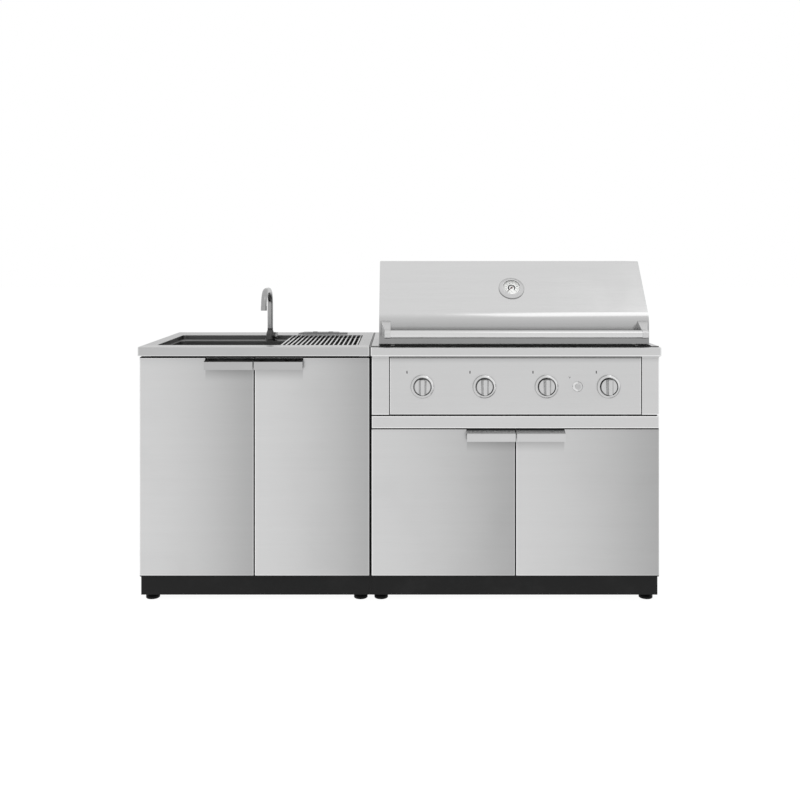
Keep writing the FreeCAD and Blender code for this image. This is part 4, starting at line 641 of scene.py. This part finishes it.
def polished(name, level, roughness, tint=(1.0, 1.0, 1.0), groove=None, painted_gleam=None, rim=None):
    """Polished metal. Groove and rim say between which distances a painted shade darkens it."""
    colour = tuple(grey(level) * part for part in tint)
    finish, net, shader, place = start_finish(name, colour, 1.0, roughness)
    prints = put_group(net, smudge_group, place, Size=PRINT_SIZE)["Mask"]
    fine = put_group(net, grain_group, place, **TURNED)
    metal = mixed(net, fine["Broad"], tuple(part * TURNED_TONE for part in colour), colour)
    # Painted shade in the groove where knob and bezel meet.
    if groove:
        radius = put_group(net, axis_group, place)["Radius"]
        metal = shaded(net, metal, spread(net, radius, *groove, 1.0, GROOVE_SHADE))
    # Painted highlight on the bezel's upper right side.
    if painted_gleam:
        toward = vectors(net, "DOT_PRODUCT", put_group(net, axis_group, place)["Offset"], GLEAM_HIGHLIGHT_SIDE)
        metal = shaded(net, metal, spread(net, toward, *painted_gleam, soft=False))
    # Painted shade: a dark ring round the edge of the thermometer's case.
    if rim:
        away = vectors(net, "DISTANCE", place, GAUGE_MIDDLE)
        metal = shaded(net, metal, spread(net, away, *rim, 1.0, CASE_RIM_SHADE, soft=False))
    rough = ranged(net, prints, roughness, roughness + PRINT_ROUGH)
    end_finish(net, shader, metal, rough, fine["Lines"], TURNED_DEPTH)
    return finish


wear("knob_1 knob_2 knob_3 knob_4", polished("knob metal", 204, 0.2, groove=(0.0272, 0.0284)))
wear("panel_bezels", polished("bezel metal", 212, 0.12, groove=(0.0325, 0.0312),
                              painted_gleam=(0.018, 0.029, 0.9, 1.16)))
wear("igniter_button", polished("igniter button metal", 190, 0.16))
wear("gauge_case",
     polished("gauge case metal", 208, 0.34, rim=(CASE_EDGE - 0.0022, CASE_EDGE - 0.0002)))
wear("tap_spout tap_lever", polished("tap metal", 164, 0.24))
wear("tap_base", polished("tap base metal", 84, 0.3))
wear("gas_valves", polished("turned brass", 190, 0.24, (1.0, 0.76, 0.36)))
print("polished parts dressed")

# %% [markdown]
# Zinc plating has a fine crystal pattern, so it comes from a Voronoi texture
# rather than from stretched noise. Inside the grill it is bright. The brackets
# and the links between the cabinets have black zinc, which also serves as a
# painted shade that keeps the gaps between the doors dark.

# %% Zinc plated steel
FLAKE_SCALE, FLAKE_DEPTH = 260.0, 0.00004
FLAKE_SMOOTH, FLAKE_ROUGH = 0.3, 0.48


def plated(name, dark, light):
    finish, net, shader, place = start_finish(name, dark, 1.0, 0.38)
    flakes = put_node(net, "TexVoronoi", Vector=place, Scale=FLAKE_SCALE).outputs["Distance"]
    rough = ranged(net, flakes, FLAKE_SMOOTH, FLAKE_ROUGH)
    end_finish(net, shader, mixed(net, flakes, dark, light), rough, flakes, FLAKE_DEPTH)
    return finish


zinc = plated("zinc plate", (0.28, 0.29, 0.3), (0.5, 0.51, 0.53))
wear("gas_manifold valve_stem_1 valve_stem_2 valve_stem_3 valve_stem_4", zinc)
# The brackets and links are near black, partly as painted shade for the gaps between the doors.
wear("hinge_brackets unit_links",
     plated("black zinc plate as painted shade", (0.012, 0.012, 0.013), (0.03, 0.03, 0.032)))
print("zinc parts dressed")

# %% [markdown]
# The kick plates are powder coated: a dark skin with the fine dimples of melted
# powder. Moulded plastic, rubber and ink are built in the same way, with other
# colours and another size of dimple.

# %% Coated and moulded surfaces
DUST_SIZE, DUST_GAIN, DUST_ADDED = 7.0, 1.35, 0.004
HOLLOW_ROUGH, CREST_ROUGH = 0.06, 0.08


def moulded(name, colour, roughness, dimple, depth, coat=0.0, shine=0.5):
    """A dull skin with dimples of a scale and a depth."""
    finish, net, shader, place = start_finish(name, colour, 0.0, roughness)
    shader.inputs["Specular IOR Level"].default_value = shine
    shader.inputs["Coat Weight"].default_value = coat
    dimples = put_node(net, "TexNoise", Vector=place, Scale=dimple, Detail=2.0).outputs["Fac"]
    dust = put_group(net, smudge_group, place, Size=DUST_SIZE)["Mask"]
    dusty = tuple(part * DUST_GAIN + DUST_ADDED for part in colour)
    rough = ranged(net, dimples, roughness - HOLLOW_ROUGH, roughness + CREST_ROUGH)
    end_finish(net, shader, mixed(net, dust, colour, dusty), rough, dimples, depth)
    return finish


kick_finish = moulded("black powder coat", (0.008, 0.008, 0.008), 0.42, 900.0, 0.00006, shine=0.2)
plastic = moulded("dark moulded plastic", (0.035, 0.035, 0.037), 0.46, 1400.0, 0.00005)
rubber = moulded("black rubber", (0.01, 0.01, 0.01), 0.7, 1100.0, 0.00008, shine=0.25)
ink = moulded("black ink", (0.012, 0.012, 0.013), 0.5, 1500.0, 0.000004, shine=0.3)
# The feet are black plastic, made darker still as a painted shadow where they meet the floor.
foot_plastic_and_shadow = moulded("black moulded plastic with painted shadow", (0.005, 0.005, 0.005), 0.5, 1300.0, 0.00005, shine=0.12)
plate_finish = moulded("rear plate plastic", (0.17, 0.17, 0.17), 0.44, 1200.0, 0.00005)
wear("kick_plates", kick_finish)
wear("door_catches", plastic)
wear("levelling_feet", foot_plastic_and_shadow)
wear("rear_plate", plate_finish)
wear("lid_bumpers", rubber)
print("coated parts dressed")

# %% [markdown]
# The thermometer's glass is thin and clear, so it is almost all see-through:
# only its reflections and a faint film of dust show. The film is what the alpha
# value lets through.

# %% Glass and needle
glass, net, shader, place = start_finish("thermometer glass", (0.04, 0.045, 0.045), 0.0, 0.04)
shader.inputs["IOR"].default_value = 1.45
dust = put_group(net, smudge_group, place, Size=60.0)["Mask"]
feed(net, shader.inputs["Roughness"], ranged(net, dust, 0.03, 0.12))
feed(net, shader.inputs["Alpha"], ranged(net, dust, 0.1, 0.16))
wear("gauge_lens", glass)
wear("gauge_needle", moulded("needle paint", (0.05, 0.006, 0.005), 0.36, 900.0, 0.00001))
print("parts without a finish:", sorted(set(nodes) - dressed))

# %% [markdown]
# ## The thermometer's printed dial
#
# The dial is a thin enamelled disc in the case, with ticks, plain numbers and
# an arc. Real marks are a thin layer of ink, so they are modelled as flat pieces
# that stand a little proud rather than as a picture on the disc.
# Everything is drawn flat first and then laid on the lid's slope in one step.

# %% Where the dial lies
GAUGE_OUT = Vector((0.0, -0.785, 0.619)).normalized()
DIAL_LIFT = 0.0041
right, up = Vector((1, 0, 0)), GAUGE_OUT.cross(Vector((1, 0, 0)))
slope = Matrix((right, up, GAUGE_OUT)).transposed().to_4x4()
dial_place = Matrix.Translation(GAUGE_MIDDLE + GAUGE_OUT * DIAL_LIFT) @ slope
print("dial faces", tuple(round(v, 3) for v in GAUGE_OUT))

# %% [markdown]
# Each small piece starts as a block or a cylinder and is then shaped by
# operators, in the way a modeller would: bevel, inset, push, join. The last step
# bakes its place into its mesh and says which part it rides on.

# %% Helpers for pieces
HERE = Matrix.Identity(4)


def fresh(add, **values):
    """What an operator adds, alone in the selection."""
    bpy.ops.object.select_all(action="DESELECT")
    add(**values)
    return bpy.context.object


def cylinder(vertices, radius, depth, middle, **more):
    return fresh(bpy.ops.mesh.primitive_cylinder_add, vertices=vertices, radius=radius, depth=depth,
                 location=middle, **more)


def block(size, middle, turn=0.0):
    piece = fresh(bpy.ops.mesh.primitive_cube_add, size=1, location=middle, rotation=(0, 0, turn))
    piece.dimensions = size
    bpy.ops.object.transform_apply(location=True, rotation=True, scale=True)
    return piece


def only(piece):
    """Select one piece and nothing else."""
    bpy.ops.object.select_all(action="DESELECT")
    piece.select_set(True)
    bpy.context.view_layer.objects.active = piece


def applied(piece, kind, **values):
    """Add a modifier to a piece, set it and apply it."""
    only(piece)
    modifier = piece.modifiers.new(kind.lower(), kind)
    for label, value in values.items():
        setattr(modifier, label, value)
    bpy.ops.object.modifier_apply(modifier=modifier.name)


def softened(piece, width, segments):
    applied(piece, "BEVEL", width=width, segments=segments, limit_method="ANGLE")


def pick_faces(piece, test):
    """Select the faces of the active piece that pass a test, and stay in edit mode."""
    bpy.ops.object.mode_set(mode="EDIT")
    bpy.ops.mesh.select_mode(type="FACE")
    bpy.ops.mesh.select_all(action="DESELECT")
    bpy.ops.object.mode_set(mode="OBJECT")
    for face in piece.data.polygons:
        face.select = test(face)
    bpy.ops.object.mode_set(mode="EDIT")


def stepped(piece, side, *steps):
    """Inset the upper or lower end of a disc and push it along, once for each step."""
    pick_faces(piece, lambda face: face.normal.z * side > 0.9)
    for inset, push in steps:
        bpy.ops.mesh.inset(thickness=inset, depth=0)
        bpy.ops.transform.translate(value=(0, 0, push))
    bpy.ops.object.mode_set(mode="OBJECT")


def joined(pieces):
    """Join several pieces into the first one."""
    bpy.ops.object.select_all(action="DESELECT")
    for piece in pieces:
        piece.select_set(True)
    bpy.context.view_layer.objects.active = pieces[0]
    bpy.ops.object.join()
    return pieces[0]


def settle(piece, place, name, finish, body):
    """Bake a piece's place into its mesh, and give it its name, finish and body."""
    only(piece)
    piece.matrix_world = place @ piece.matrix_world
    bpy.ops.object.transform_apply(location=True, rotation=True, scale=True)
    piece.name = name
    piece.data.materials.clear()
    piece.data.materials.append(finish)
    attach(piece, body)


print("piece helpers ready")

# %% [markdown]
# The disc is a low cylinder with a raised lip and a softened rim. Its face is
# inset once, so that the printed field lies a little deeper than the lip. A pale
# ring lines the wall of the case between the dial and the glass, as painted
# light over the shade that the case casts on its own wall.

# %% Dial disc and ring
DISC_RADIUS, DISC_HEIGHT, FIELD_DROP = 0.0292, 0.0008, 0.0002
DIAL_FIELD = DISC_HEIGHT - FIELD_DROP
RING_RADIUS, RING_LOW, RING_HIGH = 0.0294, 0.0009, 0.0044
enamel = moulded("cream enamel", (0.8, 0.8, 0.78), 0.4, 500.0, 0.000004, coat=0.1)
disc = cylinder(96, DISC_RADIUS, DISC_HEIGHT, (0, 0, DISC_HEIGHT / 2))
stepped(disc, 1, (0.0012, -FIELD_DROP))
softened(disc, 0.0001, 2)
settle(disc, dial_place, "gauge_dial_disc", enamel, "lid")
# The pale ring is painted light over the case's shaded wall.
ring = cylinder(96, RING_RADIUS, RING_HIGH - RING_LOW, (0, 0, (RING_LOW + RING_HIGH) / 2),
                end_fill_type="NOTHING")
applied(ring, "SOLIDIFY", thickness=0.00025, offset=-1)
softened(ring, 0.00008, 2)
settle(ring, dial_place, "gauge_ring", enamel, "lid")
print("disc faces", len(disc.data.polygons), "ring faces", len(ring.data.polygons))

# %% [markdown]
# The scale runs clockwise through 270 degrees, as the needle does. A tick is a
# flat bar at its place round the dial, and every third one is longer.

# %% Ticks
INK = 0.00006
SWEEP = [math.radians(225 - 10 * step) for step in range(28)]
LONG_TICK, SHORT_TICK, TICK_END = (0.0011, 0.0228), (0.0006, 0.0242), 0.0266


def flat_bar(width, low, high, angle, base):
    """A thin printed stroke between two radii, at the height of the ground under it."""
    bar = block((high - low, width, INK), (0, 0, 0))
    softened(bar, INK / 4, 1)
    outward = Matrix.Translation(((low + high) / 2, 0, base + INK / 2))
    bar.matrix_world = Matrix.Rotation(angle, 4, "Z") @ outward
    return bar


ticks = []
for step, angle in enumerate(SWEEP):
    width, start = SHORT_TICK if step % 3 else LONG_TICK
    ticks.append(flat_bar(width, start, TICK_END, angle, DIAL_FIELD))
settle(joined(ticks), dial_place, "gauge_ticks", ink, "lid")
print("ticks", len(SWEEP))

# %% [markdown]
# The C-shaped arc is one small rectangle, set upright and spun through 270
# degrees.

# %% Arc
ARC_WIDTH, ARC_RADIUS = 0.0038, 0.0117
arc = fresh(bpy.ops.mesh.primitive_plane_add, size=1, location=(0, 0, 0))
arc.dimensions = (ARC_WIDTH, INK, 0)
bpy.ops.object.transform_apply(location=False, rotation=False, scale=True)
bpy.ops.object.mode_set(mode="EDIT")
bpy.ops.mesh.select_all(action="SELECT")
bpy.ops.transform.rotate(value=math.radians(90), orient_axis="X", center_override=(0, 0, 0))
bpy.ops.transform.translate(value=(ARC_RADIUS, 0, DIAL_FIELD + INK / 2))
bpy.ops.transform.rotate(value=math.radians(135), orient_axis="Z", center_override=(0, 0, 0))
bpy.ops.mesh.spin(steps=54, angle=math.radians(270), center=(0, 0, 0), axis=(0, 0, 1))
bpy.ops.mesh.select_all(action="SELECT")
bpy.ops.mesh.remove_doubles(threshold=0.000001)
bpy.ops.mesh.normals_make_consistent(inside=False)
bpy.ops.object.mode_set(mode="OBJECT")
bearings = [round(math.degrees(math.atan2(v.co.y, v.co.x))) for v in arc.data.vertices]
print("arc from", min(bearings), "to", max(bearings), "degrees, points", len(bearings))
settle(arc, dial_place, "gauge_arc", ink, "lid")

# %% [markdown]
# The numbers are text made into meshes. They are plain temperatures in even
# steps, one at every longer tick.

# %% Numbers
NUMBER_SIZE, NUMBER_RADIUS = 0.0034, 0.0193
figures = []
for step in range(0, 28, 3):
    words = fresh(bpy.ops.object.text_add, location=(0, 0, 0))
    words.data.body = str(50 + 50 * (step // 3))
    words.data.size = NUMBER_SIZE
    words.data.align_x = words.data.align_y = "CENTER"
    words.data.extrude = INK / 2
    words.data.resolution_u = 3
    bpy.ops.object.convert(target="MESH")
    across, along = NUMBER_RADIUS * math.cos(SWEEP[step]), NUMBER_RADIUS * math.sin(SWEEP[step])
    words.matrix_world = Matrix.Translation((across, along, DIAL_FIELD + INK / 2))
    figures.append(words)
figures = joined(figures)
settle(figures, dial_place, "gauge_numbers", ink, "lid")
print("numbers, points", len(figures.data.vertices))

# %% [markdown]
# ## Marks on the control panel
#
# Beside each knob, up and to the left, the panel carries a small dark printed
# mark, a plain upright stroke on a ring. The ring is a disc whose middle is inset
# and removed. The igniter's mark is a plain spark of three strokes.

# %% Knob marks
PANEL_FACE = -0.2775
MARK_X, MARK_RISE = (0.0262, 0.2488, 0.4713, 0.6952), 0.0478
SPARK_X, SPARK_RISE = 0.601, 0.0325


def printed_ring(outer, inner):
    """A flat ring of ink between two radii."""
    ring = cylinder(40, outer, 2 * INK, (0, 0, INK))
    pick_faces(ring, lambda face: abs(face.normal.z) > 0.9)
    bpy.ops.mesh.inset(thickness=outer - inner, depth=0, use_individual=True)
    bpy.ops.mesh.bridge_edge_loops()
    bpy.ops.object.mode_set(mode="OBJECT")
    return ring


def panel_place(x, rise):
    """From a flat drawing to the upright face of the panel."""
    upright = Matrix.Rotation(math.radians(90), 4, "X")
    return Matrix.Translation((x, PANEL_FACE, KNOB_Z + rise)) @ upright


for number, x in enumerate(MARK_X, 1):
    mark = joined([printed_ring(0.0023, 0.0012), flat_bar(0.0034, 0, 0.0076, math.radians(90), 0)])
    settle(mark, panel_place(x, MARK_RISE), "knob_mark_%d" % number, ink, "island")
spark = joined([flat_bar(0.0011, 0, 0.0042, math.radians(turn), 0) for turn in (20, 140, 260)])
settle(spark, panel_place(SPARK_X, SPARK_RISE), "igniter_mark", ink, "island")
print("marks beside", len(MARK_X), "knobs and the igniter")

# %% [markdown]
# ## Small parts that finish the edges
#
# Black strips, mostly of rubber, are set as painted shade in the gaps: in the
# groove behind the grill's front trim, under the lid's hem, behind the top edges
# of the doors, along each door above its pull, where two doors meet, above the
# kick plates and between the two cabinets. Every strip is a long block with
# rounded edges, so one helper makes them all from two values on each axis.

# %% Rubber strips


def strip(name, x, y, z, finish=None, body="island", round_by=0.25):
    """A long block; its edges are rounded by a share of its thinnest side."""
    low, high = (Vector(corner) for corner in zip(x, y, z))
    bar = block(high - low, (low + high) / 2)
    softened(bar, min(high - low) * round_by, 3)
    settle(bar, HERE, name, finish or rubber, body)


TRIM_GROOVE, DOOR_BACK = (-0.2654, -0.2616), (-0.2573, -0.2556)
UNDER_HEM, LID_REST, TRIM_FACE = (-0.2352, -0.2272), (-0.2608, -0.2408), (-0.2664, -0.2616)
PULL_BACK, DOOR_EDGE, KICK_TOP = (-0.2787, -0.27755), (-0.2705, -0.2655), (-0.2554, -0.2454)
BETWEEN = (-0.10795, -0.09795)
# The strips below are black pieces set as painted shade in the gaps.
low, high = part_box("grill_front_trim")
strip("trim_shade_strip", (low.x + 0.0015, high.x - 0.0015), TRIM_GROOVE, (0.8992, 0.9044))
strip("sink_door_shade_strip", (-0.8835, -0.1437), DOOR_BACK, (0.86, 0.8755))
strip("grill_door_shade_strip", (-0.0622, 0.8816), DOOR_BACK, (0.5965, 0.6175))
for number, x in enumerate(((-0.072, -0.0315), (-0.0175, 0.8365), (0.8505, 0.8915)), 1):
    strip("hem_seal_%d" % number, x, UNDER_HEM, (0.90925, 0.9115))
    strip("hem_mat_%d" % number, x, LID_REST, (0.90805, 0.9109))
strip("trim_joint_seal", (-0.072, 0.8915), TRIM_FACE, (0.90555, 0.9083))
for side, over in (("sink_left", -0.0003), ("sink_right", -0.0003), ("grill_left", 0.0034),
                   ("grill_right", 0.0034)):
    door = side + "_door"
    low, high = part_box(side + "_pull")
    strip(side + "_pull_shade_strip", (low.x + 0.0004, high.x - 0.0004), PULL_BACK,
          (high.z + 0.0003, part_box(door)[1].z + over), body=door)
for side in ("sink", "grill"):
    door = side + "_left_door"
    low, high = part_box(door)
    strip(side + "_meeting_shade_strip", (high.x + 0.00002, high.x + 0.0036), DOOR_EDGE,
          (low.z + 0.002, high.z - 0.002), body=door)
for number, x in enumerate(((-0.919, -0.1082), (-0.0977, 0.9171)), 1):
    strip("kick_seal_%d" % number, x, KICK_TOP, (0.0226, 0.02395))
strip("kick_shade_filler", BETWEEN, (-0.2553, -0.2453), (0.0228, 0.0976), kick_finish,
      round_by=0.03)
strip("cabinet_shade_strip", BETWEEN, (-0.254, -0.244), (0.098, 0.8755))
print("rubber strips laid")

# %% [markdown]
# A flat cover strip closes the narrow gap between the two counters, so that
# nothing falls between the cabinets. The front trim has a lip below, and steel
# strips fill most of the gap above the control panel and above its stiles. The
# two inner doors have a thin folded hem along the gap between the cabinets: the
# sink door's is darker as painted shade and the grill door's lighter as a
# painted highlight.

# %% Cover strips
joint_finish = brushed("cover strip steel", 108, 0.4, ALONG_Y)
header = brushed("header steel", 200, 0.34, ALONG_X)
HEADER_DEPTH = (-0.2772, -0.2622)
strip("counter_cover_strip", (-0.10715, -0.10065), (-0.2945, 0.3125), (0.8772, 0.9074), joint_finish,
      round_by=0.12)
strip("trim_lip", (-0.0976, 0.917), (-0.294, -0.2622), (0.8738, 0.87595), header,
      round_by=0.1)
strip("panel_header", (-0.0339, 0.8533), HEADER_DEPTH, (0.8669, 0.8686), header,
      round_by=0.1)
for number, x in enumerate(((-0.0976, -0.037), (0.8564, 0.917)), 1):
    strip("stile_cap_%d" % number, x, HEADER_DEPTH, (0.8669, 0.8724), header,
          round_by=0.08)
for number, x in enumerate(((-0.1001, -0.0722), (0.8917, 0.9195)), 1):
    strip("trim_joint_%d" % number, x, TRIM_FACE, (0.90555, 0.9082), joint_finish,
          round_by=0.1)
FOLD = 0.00105
# Lit and shaded copies of one steel: the sink door's hem is darker as painted shade, the grill door's
# lighter as a painted highlight.
for name, level in (("sink_right_door", 186), ("grill_left_door", 214)):
    low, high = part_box(name)
    sink = name.startswith("sink")
    x = (high.x, high.x + FOLD) if sink else (low.x - FOLD, low.x)
    strip(name.replace("door", "hem"), x, (low.y + 0.0001, low.y + 0.003),
          (low.z + 0.001, high.z - 0.001),
          brushed(("sink" if sink else "grill") + " hem steel", level, 0.34, ALONG_Z), body=name,
          round_by=0.1)
print("gaps closed")

# %% [markdown]
# The spout's end holds an aerator screen. It is a shallow cup: a disc whose
# lower face is inset twice and pushed up.

# %% Aerator screen
screen = cylinder(48, 0.0086, 0.0026, (-0.5136, -0.0435, 1.0231))
stepped(screen, -1, (0.0014, 0.0008), (0.0012, -0.0004))
settle(screen, HERE, "aerator_screen", plastic, "tap_spout")
print("screen faces", len(screen.data.polygons))

# %% [markdown]
# The low plate on the rear rim carries two flat studs. They are discs with a
# bevelled rim and a dished middle.

# %% Studs of the rear plate
STUD_RADIUS, STUD_HEIGHT = 0.0095, 0.0022
low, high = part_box("rear_plate")
for number, share_x in enumerate((0.34, 0.66), 1):
    x = low.x + (high.x - low.x) * share_x
    stud = cylinder(40, STUD_RADIUS, STUD_HEIGHT, (x, (low.y + high.y) / 2, high.z + STUD_HEIGHT / 2))
    stepped(stud, 1, (0.003, -0.0008))
    softened(stud, 0.0004, 2)
    settle(stud, HERE, "plate_stud_%d" % number, plate_finish, "island")
print("studs on the rear plate")

# %% [markdown]
# The back panels are screwed to the side panels. One pan-head screw is shaped
# with a domed head and a cross slot, and then copied along both edges of both
# panels, each copy with its own mesh.

# %% Screws of the back panels
BACK_FACE = 0.3035
HEAD_RADIUS, HEAD_HEIGHT, SLOT_SIZE = 0.0042, 0.002, (0.0048, 0.0009, 0.0014)


def cross_screw():
    screw = cylinder(24, HEAD_RADIUS, HEAD_HEIGHT, (0, 0, HEAD_HEIGHT / 2))
    softened(screw, 0.0011, 3)
    for turn in (45, 135):
        slot = block(SLOT_SIZE, (0, 0, 0.0019), math.radians(turn))
        applied(screw, "BOOLEAN", object=slot, operation="DIFFERENCE", solver="EXACT")
        bpy.data.objects.remove(slot)
    return screw


pattern = cross_screw()
backward = Matrix.Rotation(math.radians(-90), 4, "X")
screws = []
for x in (-0.911, -0.1165, -0.0895, 0.909):
    for z in (0.16, 0.36, 0.56, 0.8):
        copy = pattern.copy()
        copy.data = pattern.data.copy()
        bpy.context.collection.objects.link(copy)
        copy.matrix_world = Matrix.Translation((x, BACK_FACE, z)) @ backward
        screws.append(copy)
bpy.data.objects.remove(pattern)
count, screws = len(screws), joined(screws)
settle(screws, HERE, "back_screws", zinc, "island")
print("screws", count, "faces", len(screws.data.polygons))
